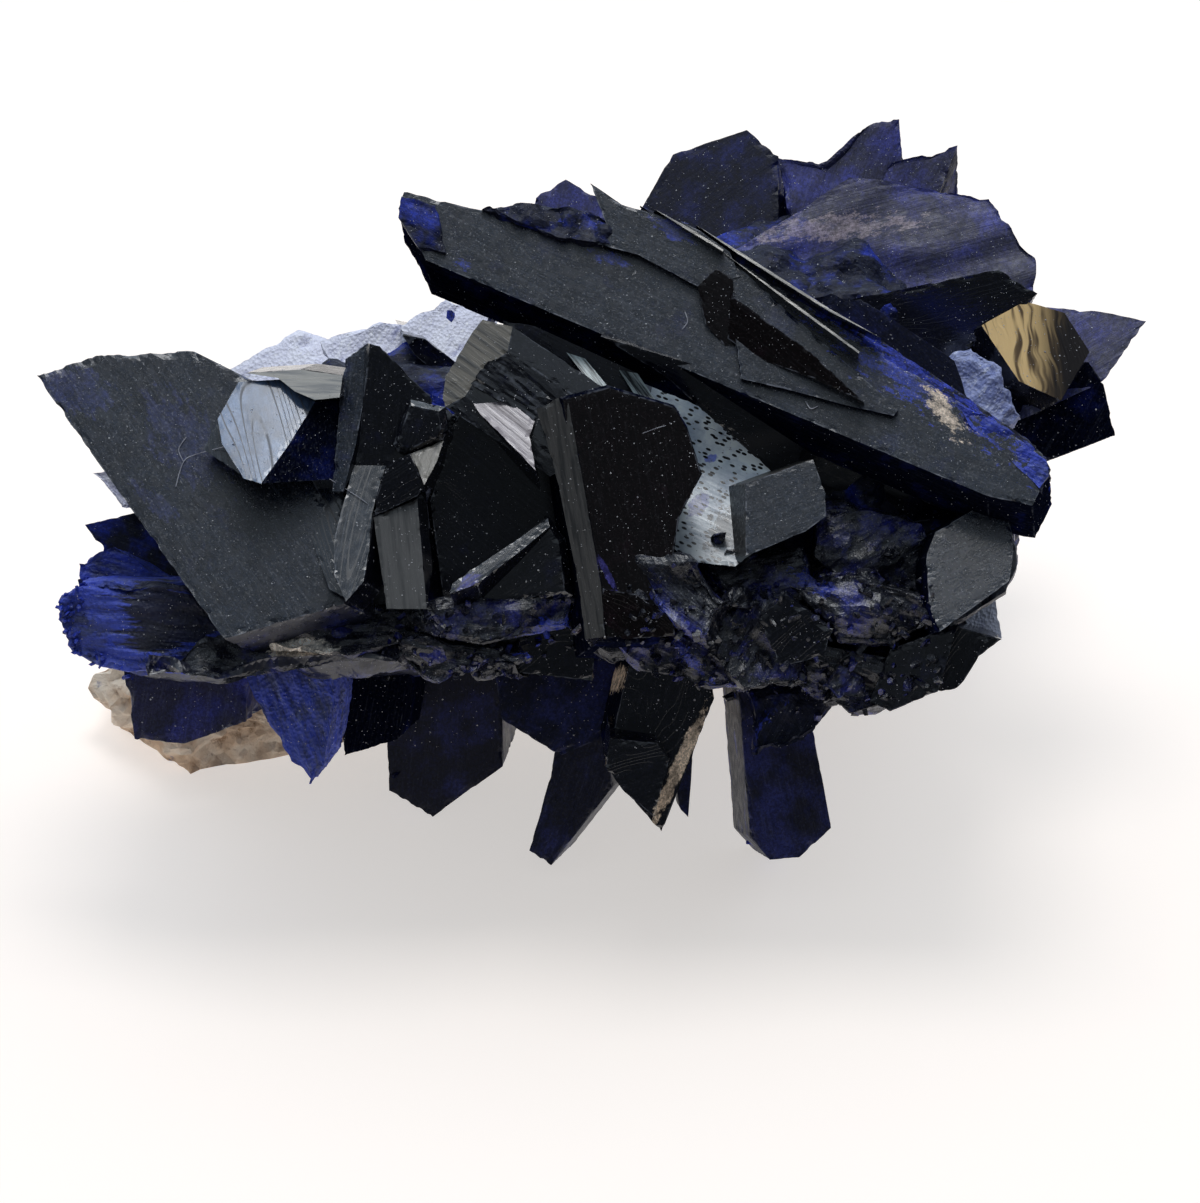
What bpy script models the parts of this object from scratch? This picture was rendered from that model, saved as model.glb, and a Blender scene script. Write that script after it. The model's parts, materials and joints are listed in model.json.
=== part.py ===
"""Azurite specimen: one intergrown cluster of azurite crystals on a remnant of clay matrix.

Units are millimetres until the meshes are made, and metres in Blender.

The specimen is described in its display view, looking down at it by DISPLAY_TILT degrees. A point is
(across, up, out): across to the right, up the view, and out towards the viewer. A crystal is the outline
of its front face in that view, the slope of that face, and the run of its body back into the cluster.
"""

import math
import random
from dataclasses import dataclass

import bmesh
import bpy
from mathutils import Matrix, Vector

MM = 0.001
DISPLAY_TILT = math.radians(35.0)
# Where the display view's zero point stands: X, Y, and the height over the ground.
VIEW_ORIGIN = (0.3, -9.6, 14.5)
# The middle of the specimen seen from above, which the part's frame has at X = Y = 0.
FOOTPRINT_MIDDLE = (0.15, 3.26, 0.0)

GAP = 0.35  # clearance between the clay and the crystals that it holds
CORE_ROUGHNESS = 0.1
CORE_SEED = 7
EDGE_GROWTH = 1.3  # how far corners move out so that the sides move out by one, in a usual outline
SLIVER = 0.000002  # edges shorter than this, in metres, are closed up
AZURITE_COLOUR = (0.012, 0.018, 0.09)
AZURITE_ROUGHNESS = 0.18
CLAY_COLOUR = (0.62, 0.5, 0.38)
CLAY_DULLNESS = 0.9
SPRAY_SEED = 23


@dataclass(frozen=True)
class Crystal:
    """A crystal whose front face is outlined in the display view.

    outline: corners of the front face, (across, up).
    out: how far the middle of the face stands out.
    lean: how fast the face comes out towards the viewer, per millimetre across and per millimetre up.
    body: the run from the front face to the back face, (across, up, out).
    chamfer: width of the bevel faces round the front face.
    taper: size of the back face against the front face.
    """

    outline: tuple
    out: float
    lean: tuple
    body: tuple
    chamfer: float = 0.0
    taper: float = 1.0


# The long blade across the top and the plates that step up its crest.
LONG_BLADE = {
    "main": Crystal(
        ((-7.9, 16.5), (-8.1, 15.8), (-7.5, 14.8), (-7.0, 13.7), (15.4, 4.2), (17.2, 3.8), (17.9, 5.2),
         (17.6, 5.9), (13.0, 8.8), (4.8, 14.1), (-5.2, 15.8)),
        1.0, (0.03, -0.28), (0.2, -1.3, -2.4)),
    "keel": Crystal(
        ((0.0, 10.6), (2.6, 9.0), (6.9, 5.2), (9.4, 3.5), (12.0, 3.1), (16.2, 3.6), (15.6, 4.6),
         (6.0, 8.8)),
        -0.2, (0.0, 0.45), (0.3, 0.5, -3.0)),
    "tip_plate": Crystal(
        ((-0.4, 16.8), (0.8, 15.95), (2.0, 15.6), (3.8, 15.0), (5.2, 14.0), (5.6, 13.0), (3.9, 12.6),
         (2.8, 13.2), (1.5, 13.9), (-0.1, 14.3), (0.3, 15.0)),
        0.3, (0.03, -0.28), (0.4, -0.2, -1.4)),
    "step_plate": Crystal(
        ((4.9, 14.0), (7.4, 11.7), (10.2, 9.2), (11.9, 7.65), (11.7, 7.4), (9.9, 7.8), (7.7, 8.4),
         (5.6, 8.9), (5.3, 11.5)),
        1.78, (0.03, -0.28), (0.1, -0.2, -1.4)),
    "crest_plate": Crystal(
        ((1.6, 15.9), (3.8, 15.1), (7.4, 12.9), (11.0, 10.6), (14.6, 8.2), (17.4, 6.2), (16.6, 5.9),
         (14.2, 6.9), (11.8, 7.8), (9.6, 9.4), (7.3, 11.4), (4.6, 13.6)),
        1.28, (0.03, -0.28), (0.0, -0.3, -2.2)),
    "shaded_wedge": Crystal(
        ((3.5, 12.8), (4.9, 13.8), (5.3, 11.5), (5.7, 8.9), (4.9, 10.0), (4.2, 11.4)),
        1.1, (0.05, 0.0), (0.1, 0.1, -1.6)),
    "upper_line": Crystal(
        ((2.0, 15.72), (2.3, 15.68), (5.9, 13.55), (5.75, 13.48)),
        0.5, (0.03, -0.62), (0.0, -0.2, -1.2)),
    "lower_line": Crystal(
        ((4.0, 14.9), (4.25, 14.87), (10.5, 10.4), (10.3, 10.35)),
        0.85, (0.03, -0.6), (0.0, -0.2, -1.2)),
    "blue_crest": Crystal(
        ((-4.9, 15.8), (-3.4, 16.2), (-2.1, 16.1), (-0.4, 15.9), (0.5, 15.2), (0.6, 14.2),
         (-1.8, 14.5)),
        0.0, (0.0, -0.35), (0.2, -0.4, -1.8), 0.2),
    "right_end": Crystal(
        ((13.9, 8.2), (16.6, 6.9), (17.95, 5.9), (18.1, 4.9), (17.6, 4.3), (16.4, 5.4), (14.8, 6.6)),
        2.82, (0.03, -0.28), (-0.3, -0.3, -2.6), 0.2),
    "broken_end": Crystal(
        ((-8.0, 16.3), (-6.6, 16.0), (-6.2, 14.0), (-7.3, 14.2), (-8.1, 15.4)),
        -0.3, (0.03, -0.26), (0.3, -0.5, -1.5)),
}

# The big triangular tablet on the left and the blades that fan out below it.
LEFT_FAN = {
    "tablet": Crystal(
        ((-22.7, 9.1), (-20.3, 9.9), (-16.4, 10.1), (-14.0, 8.9), (-10.4, 3.0), (-10.2, -0.1),
         (-15.0, -1.5)),
        0.0, (0.05, -0.3), (1.2, -0.6, -2.0)),
    "tablet_back": Crystal(
        ((-19.5, 8.4), (-17.0, 9.4), (-13.0, 8.8), (-10.5, 4.0), (-12.0, 0.0), (-15.5, 1.5)),
        -2.2, (0.05, -0.3), (2.4, -1.6, -4.0), 0.0, 0.7),
    "upper_tooth": Crystal(
        ((-20.8, 3.1), (-18.7, 3.6), (-15.0, 0.0), (-19.4, -0.6), (-20.1, 2.1)),
        -2.2, (0.1, -0.2), (1.8, -0.8, -3.0)),
    "lower_tooth": Crystal(
        ((-21.1, 1.6), (-19.6, 2.3), (-16.2, 0.4), (-16.6, -1.4), (-20.8, 0.1)),
        -1.4, (0.1, 0.1), (1.8, -0.6, -3.0)),
    "broken_blade": Crystal(
        ((-21.0, 0.9), (-21.9, 0.3), (-22.0, -0.9), (-21.4, -2.1), (-20.3, -2.7), (-18.8, -3.1),
         (-15.8, -3.0), (-14.2, -1.9), (-16.4, 0.8)),
        0.0, (0.04, 0.1), (1.8, 0.4, -3.4), 0.35),
    "rear_tooth": Crystal(
        ((-20.9, 5.3), (-18.6, 5.8), (-16.0, 3.0), (-19.6, 3.7)),
        -6.0, (0.1, -0.2), (2.6, -1.0, -3.0)),
    "ledge": Crystal(
        ((-18.7, -2.5), (-15.0, -1.2), (-10.2, -0.1), (-7.2, -0.4), (-8.0, -2.6), (-10.8, -2.5),
         (-15.4, -3.2)),
        0.5, (0.0, -0.6), (0.4, -0.5, -3.6)),
    "ledge_back": Crystal(
        ((-18.0, 0.4), (-12.0, 1.0), (-8.0, 0.6), (-8.4, -2.6), (-13.0, -3.0), (-17.8, -2.8)),
        -2.0, (0.0, 0.1), (1.6, -0.4, -5.0)),
}

# What hangs below the front rim. The two legs reach the ground.
UNDERSIDE = {
    "navy_block": Crystal(
        ((-19.4, -2.4), (-14.2, -2.4), (-14.4, -4.9), (-16.9, -5.8), (-18.9, -5.6)),
        -5.0, (0.0, 0.1), (1.2, 1.0, -4.0)),
    "striated_blade": Crystal(
        ((-14.6, -2.2), (-10.8, -2.0), (-10.7, -4.2), (-11.1, -6.7), (-11.7, -7.5), (-12.4, -6.6),
         (-13.7, -4.6)),
        -1.8, (0.1, 0.2), (0.8, 1.0, -2.6)),
    "shadow_block": Crystal(
        ((-10.8, -2.0), (-7.6, -2.0), (-8.2, -5.6), (-10.4, -6.3)),
        -6.0, (0.0, 0.1), (0.8, 0.8, -4.0)),
    "rear_leg": Crystal(
        ((-9.0, -0.4), (-4.0, -0.4), (-4.0, -6.8), (-6.9, -8.9), (-8.7, -7.8)),
        -10.7, (0.05, 0.25), (0.6, 1.6, -3.4)),
    "front_leg": Crystal(
        ((-1.6, -4.6), (0.3, -5.2), (0.5, -7.6), (-2.0, -10.8), (-2.9, -10.2), (-2.0, -7.0)),
        -7.6, (0.1, 0.2), (0.9, 0.8, -2.8)),
    "navy_wedge": Crystal(
        ((-4.4, -2.0), (0.8, -2.0), (0.4, -5.4), (-1.6, -6.3), (-4.0, -4.8)),
        -5.6, (0.0, 0.1), (0.4, 1.0, -4.0)),
    "chevron_back": Crystal(
        ((1.2, -2.4), (4.2, -3.0), (4.6, -3.9), (2.5, -9.3), (2.0, -8.8), (0.2, -6.6)),
        -2.2, (0.1, 0.15), (-0.2, 1.4, -2.6)),
    "chevron_front": Crystal(
        ((0.4, -5.5), (2.3, -5.7), (2.8, -6.4), (2.2, -8.7), (1.0, -7.7), (0.2, -6.7)),
        -1.7, (0.0, 0.1), (-0.1, 0.9, -1.6)),
    "lower_prism": Crystal(
        ((5.6, -3.4), (8.3, -3.4), (9.4, -9.2), (8.1, -10.4), (6.9, -10.5), (6.1, -9.6)),
        -4.9, (0.05, 0.2), (-0.6, 0.3, -5.4)),
    "blue_chunk": Crystal(
        ((5.7, -3.4), (6.0, -6.5), (6.8, -6.2), (8.2, -5.9), (9.1, -5.1), (9.6, -3.6)),
        -1.2, (0.1, -0.2), (0.1, 0.8, -2.6), 0.3),
    "slim_needle": Crystal(
        ((2.6, -1.0), (3.5, -1.0), (3.9, -5.0), (3.6, -8.8), (3.2, -8.4)),
        -6.6, (0.0, 0.1), (-0.2, 0.6, -1.6)),
}

# The upright crystals in the hollow between the tablet and the long blade.
MIDDLE_GROUP = {
    "bright_prism": Crystal(
        ((-14.5, 8.8), (-12.9, 8.9), (-11.4, 8.0), (-12.4, 6.3), (-13.5, 4.7), (-14.2, 4.9),
         (-15.1, 6.3), (-15.3, 7.3)),
        1.3, (0.1, -0.6), (4.6, 0.3, -2.0)),
    "bright_flank": Crystal(
        ((-15.9, 6.1), (-15.3, 7.25), (-14.7, 5.8), (-14.4, 5.1)),
        1.0, (0.4, -0.4), (1.0, -0.2, -1.6)),
    "buff_plate": Crystal(
        ((-14.2, 9.15), (-12.0, 9.3), (-10.3, 9.05), (-10.4, 8.15), (-11.4, 8.05), (-12.2, 8.4),
         (-12.9, 8.95)),
        0.9, (0.05, -1.1), (0.6, -0.6, -2.6)),
    "fin_strip": Crystal(
        ((-10.2, 9.7), (-9.3, 10.35), (-9.1, 10.0), (-9.75, 6.3), (-10.25, 4.4), (-10.7, 4.4),
         (-10.4, 8.3)),
        1.15, (0.5, -0.25), (0.7, -0.3, -2.6)),
    "pink_facet": Crystal(
        ((-5.5, 8.6), (-4.6, 8.5), (-3.5, 7.9), (-2.6, 7.2), (-2.8, 6.6), (-2.55, 5.2), (-3.7, 6.4),
         (-4.8, 7.5)),
        1.5, (0.05, -0.52), (0.2, -0.8, -2.4)),
    "fin": Crystal(
        ((-9.2, 10.3), (-8.8, 10.2), (-6.7, 8.1), (-7.4, 4.0), (-9.0, 0.8), (-10.2, 0.6), (-9.9, 4.5)),
        1.0, (-0.1, 0.1), (-0.9, -0.6, -3.0)),
    "glassy_blade": Crystal(
        ((-9.2, 6.9), (-8.3, 7.3), (-7.9, 7.3), (-8.4, 5.9), (-8.8, 4.7), (-9.1, 3.5), (-9.2, 2.0),
         (-9.4, 0.8), (-10.1, 0.0), (-10.6, 1.1), (-10.6, 2.5), (-10.2, 4.1), (-9.8, 5.6)),
        1.7, (-0.1, -0.44), (0.6, -0.4, -2.2)),
    "glassy_root": Crystal(
        ((-12.1, 4.6), (-10.4, 4.5), (-10.2, 4.1), (-10.6, 2.5), (-10.5, 1.1), (-10.1, 0.1),
         (-10.8, 0.5), (-11.4, 2.1)),
        1.35, (0.2, -0.4), (0.8, -0.4, -2.2)),
    "knob": Crystal(
        ((-7.6, 8.1), (-6.2, 7.8), (-6.1, 6.9), (-6.3, 6.5), (-7.6, 5.9), (-8.1, 6.0), (-8.3, 6.3),
         (-7.9, 7.4)),
        1.9, (0.0, 0.1), (0.4, -0.4, -3.0), 0.25),
    "knob_facet": Crystal(
        ((-7.55, 5.9), (-6.25, 6.45), (-6.5, 5.6), (-7.0, 4.65)),
        1.9, (0.1, -0.5), (0.3, -0.2, -2.6)),
    "column_cap": Crystal(
        ((-8.5, 5.5), (-7.6, 5.9), (-7.0, 4.65), (-7.3, 4.2), (-9.0, 3.4), (-8.95, 4.1)),
        1.95, (0.0, 0.15), (0.35, 0.2, -2.4)),
    "column": Crystal(
        ((-9.05, 3.35), (-7.3, 4.1), (-6.9, -0.3), (-8.5, -0.3)),
        2.1, (0.0, -0.25), (0.2, 1.6, -1.9)),
    "black_prism": Crystal(
        ((-6.1, 7.2), (-5.4, 8.2), (-1.4, 5.3), (-1.0, 0.2), (-6.4, -0.4), (-7.0, 4.0)),
        -0.4, (-0.1, 0.1), (0.6, 0.4, -5.0), 0.3),
    "slanting_blade": Crystal(
        ((-6.0, 0.1), (-5.3, 1.2), (-2.1, 3.5), (-1.4, 2.6), (-1.1, 0.3), (-4.8, -0.4)),
        0.7, (0.1, 0.05), (0.2, -0.6, -2.4), 0.3),
    "bar": Crystal(
        ((-6.0, 0.3), (-5.9, 0.7), (-5.4, 1.1), (-3.2, 2.55), (-2.1, 3.35), (-2.0, 3.0), (-3.2, 2.0),
         (-4.9, 0.7)),
        1.5, (0.1, -0.47), (0.2, -0.7, -1.6)),
    "pitted_prism": Crystal(
        ((-6.3, 8.1), (-6.2, 9.0), (-5.1, 10.8), (-4.7, 11.3), (-3.5, 11.0), (-3.7, 10.0), (-4.8, 9.2),
         (-5.4, 8.2), (-6.2, 7.8)),
        0.8, (0.25, -0.25), (4.2, -2.8, 0.4)),
    "splinter_face": Crystal(
        ((-4.6, 9.6), (-3.7, 9.85), (-1.7, 8.15), (-2.6, 7.2), (-5.2, 8.7)),
        1.3, (0.0, 0.0), (0.5, -0.8, -2.2)),
    "navy_prism": Crystal(
        ((-3.9, 11.3), (-1.5, 10.9), (1.6, 9.6), (1.6, 8.4), (-1.6, 7.4), (-3.9, 9.6)),
        -1.0, (0.1, 0.05), (0.8, -0.8, -4.0)),
    "mirror_prism": Crystal(
        ((0.2, 10.4), (3.4, 9.4), (7.6, 5.6), (7.0, 2.6), (5.4, 1.4), (3.4, 1.6), (0.6, 5.0)),
        -0.9, (0.1, -0.6), (0.4, -0.6, -4.0)),
    "stripe_left": Crystal(
        ((-1.1, 9.85), (-0.5, 9.75), (0.4, 8.7), (-0.2, 8.75)),
        -0.1, (0.05, -0.6), (0.2, -0.6, -1.6)),
    "stripe_right": Crystal(
        ((0.7, 9.2), (1.4, 9.05), (2.1, 8.4), (1.4, 8.5)),
        0.0, (0.05, -0.6), (0.2, -0.6, -1.6)),
    "centre_prism": Crystal(
        ((-1.7, 8.2), (0.3, 9.0), (3.1, 8.0), (3.6, 7.2), (4.2, 5.1), (3.2, 2.0), (2.4, -1.6),
         (0.0, -1.6)),
        2.6, (0.0, 0.04), (-1.2, -0.8, -4.4), 0.15),
    "prism_strip": Crystal(
        ((-2.0, 7.8), (-1.35, 8.4), (-0.8, 4.5), (0.0, 0.1), (0.2, -1.4), (-0.5, -1.5), (-0.8, 0.1),
         (-1.4, 4.5)),
        2.66, (0.4, 0.04), (0.3, -0.4, -2.0)),
    "block": Crystal(
        ((5.8, 4.7), (8.5, 5.7), (9.0, 4.3), (9.0, 3.4), (8.2, 2.8), (5.8, 1.8)),
        2.2, (0.0, -0.3), (-0.9, -0.1, -3.4)),
}

# The hackly druse along the front rim, from the foot of the tablet to the right-hand block.
FRONT_RIM = {
    "tablet_foot": Crystal(
        ((-13.2, -0.6), (-10.2, 0.3), (-7.2, 0.3), (-6.8, -1.6), (-10.0, -2.3), (-13.6, -2.1)),
        0.6, (0.0, -0.4), (0.4, -0.2, -3.0), 0.2),
    "hollow_floor": Crystal(
        ((-7.2, 0.2), (-3.2, 0.3), (-0.8, 0.4), (-1.0, -1.2), (-4.8, -2.0), (-7.0, -1.6)),
        0.8, (0.0, -0.35), (0.2, -0.2, -3.2), 0.2),
    "lip": Crystal(
        ((-8.2, -1.4), (-4.2, -1.6), (-2.8, -2.3), (-4.8, -2.9), (-6.8, -3.4), (-8.0, -2.6)),
        0.7, (0.0, 0.2), (0.2, 0.5, -3.0), 0.2),
    "maroon_facet": Crystal(
        ((-4.2, -1.2), (-1.2, -0.6), (-0.2, -1.8), (-0.3, -3.2), (-4.0, -2.8)),
        -1.2, (0.0, 0.15), (0.2, 0.5, -3.4)),
    "prism_foot": Crystal(
        ((-0.8, -1.6), (-0.5, 0.6), (2.6, 0.5), (2.9, -1.5), (0.6, -2.4)),
        1.2, (0.1, 0.1), (0.0, 0.2, -3.4), 0.25),
    "brown_facet": Crystal(
        ((0.1, 0.5), (1.4, 0.3), (2.9, -0.7), (3.0, -1.4), (0.9, -1.5), (0.1, -0.8)),
        2.2, (0.0, 0.2), (0.1, 0.3, -2.6)),
    "druse_slope": Crystal(
        ((0.6, 2.2), (3.6, 1.9), (5.6, 0.0), (4.2, -1.6), (2.2, -0.4), (1.2, 0.8)),
        1.8, (-0.05, -0.25), (0.2, -0.2, -3.4), 0.2),
    "druse_toe": Crystal(
        ((0.2, -1.3), (4.0, -1.2), (5.8, -2.6), (5.7, -3.7), (3.8, -3.5), (1.6, -2.7)),
        0.7, (0.0, 0.2), (0.1, 0.5, -3.4), 0.3),
    "druse_mid": Crystal(
        ((3.9, -0.1), (6.8, 0.7), (9.0, -1.1), (8.3, -3.4), (5.7, -3.9), (4.0, -2.3)),
        1.4, (0.0, -0.1), (0.0, 0.3, -4.0), 0.35),
    "umber_facet": Crystal(
        ((6.3, -0.7), (7.4, 0.3), (9.3, -1.1), (8.9, -2.2), (7.2, -2.6)),
        2.1, (0.1, 0.15), (0.1, 0.3, -2.6)),
    "druse_saddle": Crystal(
        ((3.6, 1.9), (5.4, 1.9), (8.0, 2.2), (9.3, 0.2), (6.8, -0.4), (4.8, 0.0)),
        1.0, (0.0, -0.2), (0.0, -0.2, -3.4), 0.2),
    "druse_shell": Crystal(
        ((7.5, 0.6), (9.8, 1.3), (13.0, 0.7), (13.7, -1.2), (11.8, -2.2), (9.5, -1.8)),
        2.0, (0.0, 0.02), (0.1, 0.2, -4.0), 0.3),
    "druse_keel": Crystal(
        ((7.9, -1.5), (11.6, -2.0), (13.7, -1.9), (13.3, -3.5), (11.6, -4.4), (10.0, -4.8),
         (8.0, -4.0)),
        0.8, (0.0, 0.2), (0.0, 0.6, -4.0), 0.25),
    "dark_hollow": Crystal(
        ((8.8, 4.0), (12.4, 3.6), (13.6, 2.0), (13.3, 0.0), (10.2, 0.3), (8.6, 1.8)),
        0.3, (0.0, -0.1), (0.0, 0.2, -4.0)),
    "right_block": Crystal(
        ((13.4, 2.8), (15.5, 4.0), (16.4, 3.5), (16.5, 2.0), (16.3, 0.8), (13.5, -1.2), (13.1, -0.2),
         (13.0, 1.8)),
        2.3, (0.0, -0.4), (-0.7, -0.3, -4.4)),
    "block_fringe": Crystal(
        ((13.8, -1.3), (16.3, 0.3), (16.8, 1.4), (16.7, 3.3), (14.6, 3.4)),
        1.0, (0.0, -0.2), (-0.6, -0.2, -2.6), 0.2),
    "block_spike": Crystal(
        ((16.0, 3.4), (17.0, 2.9), (16.4, 2.4), (15.4, 2.6)),
        -0.4, (0.0, 0.0), (-0.8, 0.0, -2.2)),
    "right_toe": Crystal(
        ((13.6, -0.8), (16.1, -1.5), (15.2, -2.2), (14.4, -3.5), (13.0, -3.7), (12.8, -2.0)),
        0.0, (0.1, 0.1), (-0.4, 0.5, -3.6)),
    "right_plate": Crystal(
        ((11.6, -1.9), (14.3, -0.9), (13.5, -3.6), (11.6, -4.4), (10.8, -4.0)),
        1.2, (0.3, 0.0), (-0.1, 0.3, -3.0)),
    "pale_facet": Crystal(
        ((14.4, 0.2), (15.9, 0.3), (16.2, -1.5), (14.8, -1.2)),
        -2.2, (0.0, -0.4), (-0.8, 0.4, -3.0)),
}

# The fan of plates behind the long blade, out to the right.
REAR_FAN = {
    "shoulder": Crystal(
        ((1.7, 16.3), (3.0, 18.6), (6.1, 19.6), (7.4, 18.5), (7.4, 15.6), (4.0, 14.0)),
        -14.0, (0.15, -0.3), (1.6, -4.0, -3.4)),
    "crown": Crystal(
        ((7.3, 18.4), (9.3, 18.4), (10.5, 19.6), (12.4, 20.0), (12.6, 18.6), (11.5, 15.6), (8.0, 15.0)),
        -13.0, (0.0, -0.2), (0.8, -4.0, -3.0)),
    "crown_tooth": Crystal(
        ((11.8, 18.2), (14.8, 18.9), (14.1, 17.0), (13.0, 14.6), (10.5, 15.2)),
        -12.4, (0.05, -0.2), (0.4, -4.0, -2.6)),
    "sail": Crystal(
        ((4.9, 14.0), (10.3, 17.6), (14.0, 17.2), (16.1, 16.7), (17.1, 15.2), (18.0, 14.2),
         (17.9, 12.8), (14.0, 11.0), (9.0, 10.4)),
        -10.6, (0.05, -0.35), (-0.6, -2.4, -4.4)),
    "black_bar": Crystal(
        ((10.4, 12.4), (16.3, 13.6), (17.9, 12.6), (16.2, 11.0), (13.4, 9.4), (10.4, 9.6)),
        -8.6, (0.1, 0.15), (-0.8, -1.6, -4.0)),
    "banded_prism": Crystal(
        ((15.6, 11.3), (17.4, 12.3), (19.0, 11.8), (20.0, 10.2), (18.8, 8.2), (17.1, 9.0)),
        -7.6, (0.1, -0.3), (-2.8, -1.6, -4.0)),
    "right_star": Crystal(
        ((17.0, 12.2), (20.6, 11.9), (22.4, 11.5), (20.6, 9.0), (17.6, 7.6)),
        -8.8, (0.05, -0.4), (-3.6, -1.6, -3.4)),
    "right_star_foot": Crystal(
        ((16.4, 9.8), (20.0, 9.8), (20.6, 8.9), (21.1, 6.8), (18.5, 5.8), (15.6, 6.8)),
        -8.2, (0.0, 0.1), (-3.0, -1.0, -3.8)),
    "pale_rough": Crystal(
        ((13.0, 9.6), (15.2, 10.6), (16.4, 9.6), (17.3, 7.6), (16.0, 6.8), (13.2, 7.4)),
        -5.0, (0.0, -0.3), (-1.2, -1.4, -3.6), 0.3),
    "hidden_bar": Crystal(
        ((7.0, 11.6), (10.6, 12.3), (14.4, 9.8), (15.0, 8.0), (14.0, 3.6), (9.0, 5.0)),
        -5.0, (0.05, 0.0), (-1.6, -0.8, -5.0)),
    "blue_tip": Crystal(
        ((-2.8, 16.6), (-1.4, 17.3), (0.2, 16.4), (0.9, 12.0), (-2.4, 12.0)),
        -8.4, (0.0, -0.2), (0.6, -5.6, -4.8)),
}

# The blades at the back on the left, seen through the gap under the long blade's free end.
REAR_LEFT = {
    "outer": Crystal(
        ((-15.6, 9.6), (-12.6, 11.3), (-10.6, 10.8), (-10.2, 7.0), (-14.5, 6.6)),
        -16.0, (0.0, -0.4), (1.8, -3.6, 3.0)),
    "middle": Crystal(
        ((-11.6, 10.8), (-9.2, 11.8), (-7.4, 11.6), (-6.8, 7.6), (-11.0, 7.0)),
        -14.6, (0.05, -0.3), (1.4, -3.8, 3.0)),
    "inner": Crystal(
        ((-8.2, 11.4), (-6.4, 12.6), (-4.2, 12.0), (-3.6, 8.0), (-8.0, 7.6)),
        -13.0, (-0.05, -0.3), (1.0, -4.0, 2.6)),
    "low": Crystal(
        ((-17.6, 7.4), (-14.4, 8.6), (-12.0, 6.0), (-14.0, 3.0), (-17.2, 4.0)),
        -12.0, (0.1, -0.3), (2.6, -2.4, 1.6)),
}

# Rough lumps of intergrown azurite that every crystal is rooted in: centre and radii.
CORES = (
    ((-12.5, 1.2, -7.0), (6.6, 4.0, 4.8)),
    ((-5.0, 2.2, -7.4), (7.4, 4.8, 5.6)),
    ((3.6, 2.6, -7.0), (8.0, 5.4, 5.8)),
    ((10.6, 3.6, -6.4), (6.6, 5.0, 5.4)),
    ((8.6, 10.4, -13.2), (8.0, 5.0, 4.6)),
    ((-6.4, 5.6, -13.4), (9.0, 4.6, 4.6)),
    ((3.0, 5.4, -15.0), (9.0, 5.2, 4.6)),
)

# The spray of blades over the back: rows of roots, (up, out, first across, last across, rise, count).
SPRAY_ROWS = (
    (-0.8, -9.0, -14.0, 12.0, 0.5, 9),
    (2.6, -10.0, -14.0, 13.0, 0.4, 9),
    (6.0, -11.0, -12.0, 14.0, 0.2, 9),
    (8.8, -12.0, -6.0, 14.0, 0.0, 7),
    (11.6, -13.0, 3.0, 12.0, -0.1, 5),
)
SPRAY_LENGTH = (8.6, 12.8)
SPRAY_WIDTH = (1.3, 2.8)
SPRAY_THICKNESS = (0.4, 0.9)
SPRAY_SHIFT = 0.9
SPRAY_FLARE = 0.022
SPRAY_SLANT = 0.7
SPRAY_SWAY = 0.25  # how far a blade's run strays sideways for each millimetre back
SPRAY_TOSS = 0.15  # and up or down
SPRAY_TAPER = (0.4, 0.85)
# A blade in section: a flat hexagon, in shares of its half width and half thickness.
SPRAY_SECTION = ((-1.0, 0.0), (-0.7, -1.0), (0.7, -1.0), (1.0, 0.0), (0.7, 1.0), (-0.7, 1.0))

# Small crystals grown over the front rim: the line they stand along, (across, up, out).
RIM_LINE = (
    (-6.5, -1.6, 0.9), (-3.6, -2.2, 0.6), (2.8, -2.6, 0.6), (5.0, -0.6, 1.5), (7.0, -2.0, 1.2),
    (9.6, -2.6, 1.2), (11.6, -3.2, 0.8), (10.4, 1.4, 1.2), (12.6, 1.0, 1.0), (4.6, 2.2, 1.2),
)
RIM_COUNT = 20
RIM_SEED = 41
RIM_SIZE = (0.5, 1.15)
RIM_SHIFT = 0.9
RIM_SLANT = 0.9
RIM_SIDES = 5
RIM_UNEVEN = 0.3  # how far a corner strays from its place, as a share of a side
RIM_SQUAT = 0.7  # height of the outline against its width
RIM_SWAY = 0.6
RIM_TOSS = (-0.2, 0.7)
RIM_DEPTH = 2.6

# The clay: its footprint on the ground, (X, Y), then the heights and sizes of the rings up to its top.
CLAY_FOOTPRINT = (
    (-20.6, 1.6), (-17.4, -1.9), (-13.4, -0.6), (-10.0, 0.8), (-4.4, 2.8), (1.6, 4.2), (7.6, 5.2),
    (12.4, 7.2), (13.6, 11.0), (7.6, 13.4), (0.6, 12.6), (-6.6, 13.8), (-13.0, 12.6), (-19.0, 8.2),
)
CLAY_RINGS = ((0.0, 0.95), (1.2, 1.03), (3.4, 0.98), (5.8, 0.86), (8.0, 0.68), (9.6, 0.4))
CLAY_ROUGHNESS = 0.75
CLAY_SEED = 5

GROUND_SIZE = 90.0
GROUND_DEPTH = 20.0


def clear_scene():
    """Removes every object of the scene."""
    for obj in list(bpy.data.objects):
        bpy.data.objects.remove(obj)


def ground_matrix():
    """The matrix that takes a point over the ground, in millimetres, to the part's frame, in metres."""
    return Matrix.Scale(MM, 4) @ Matrix.Translation(-Vector(FOOTPRINT_MIDDLE))


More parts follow.
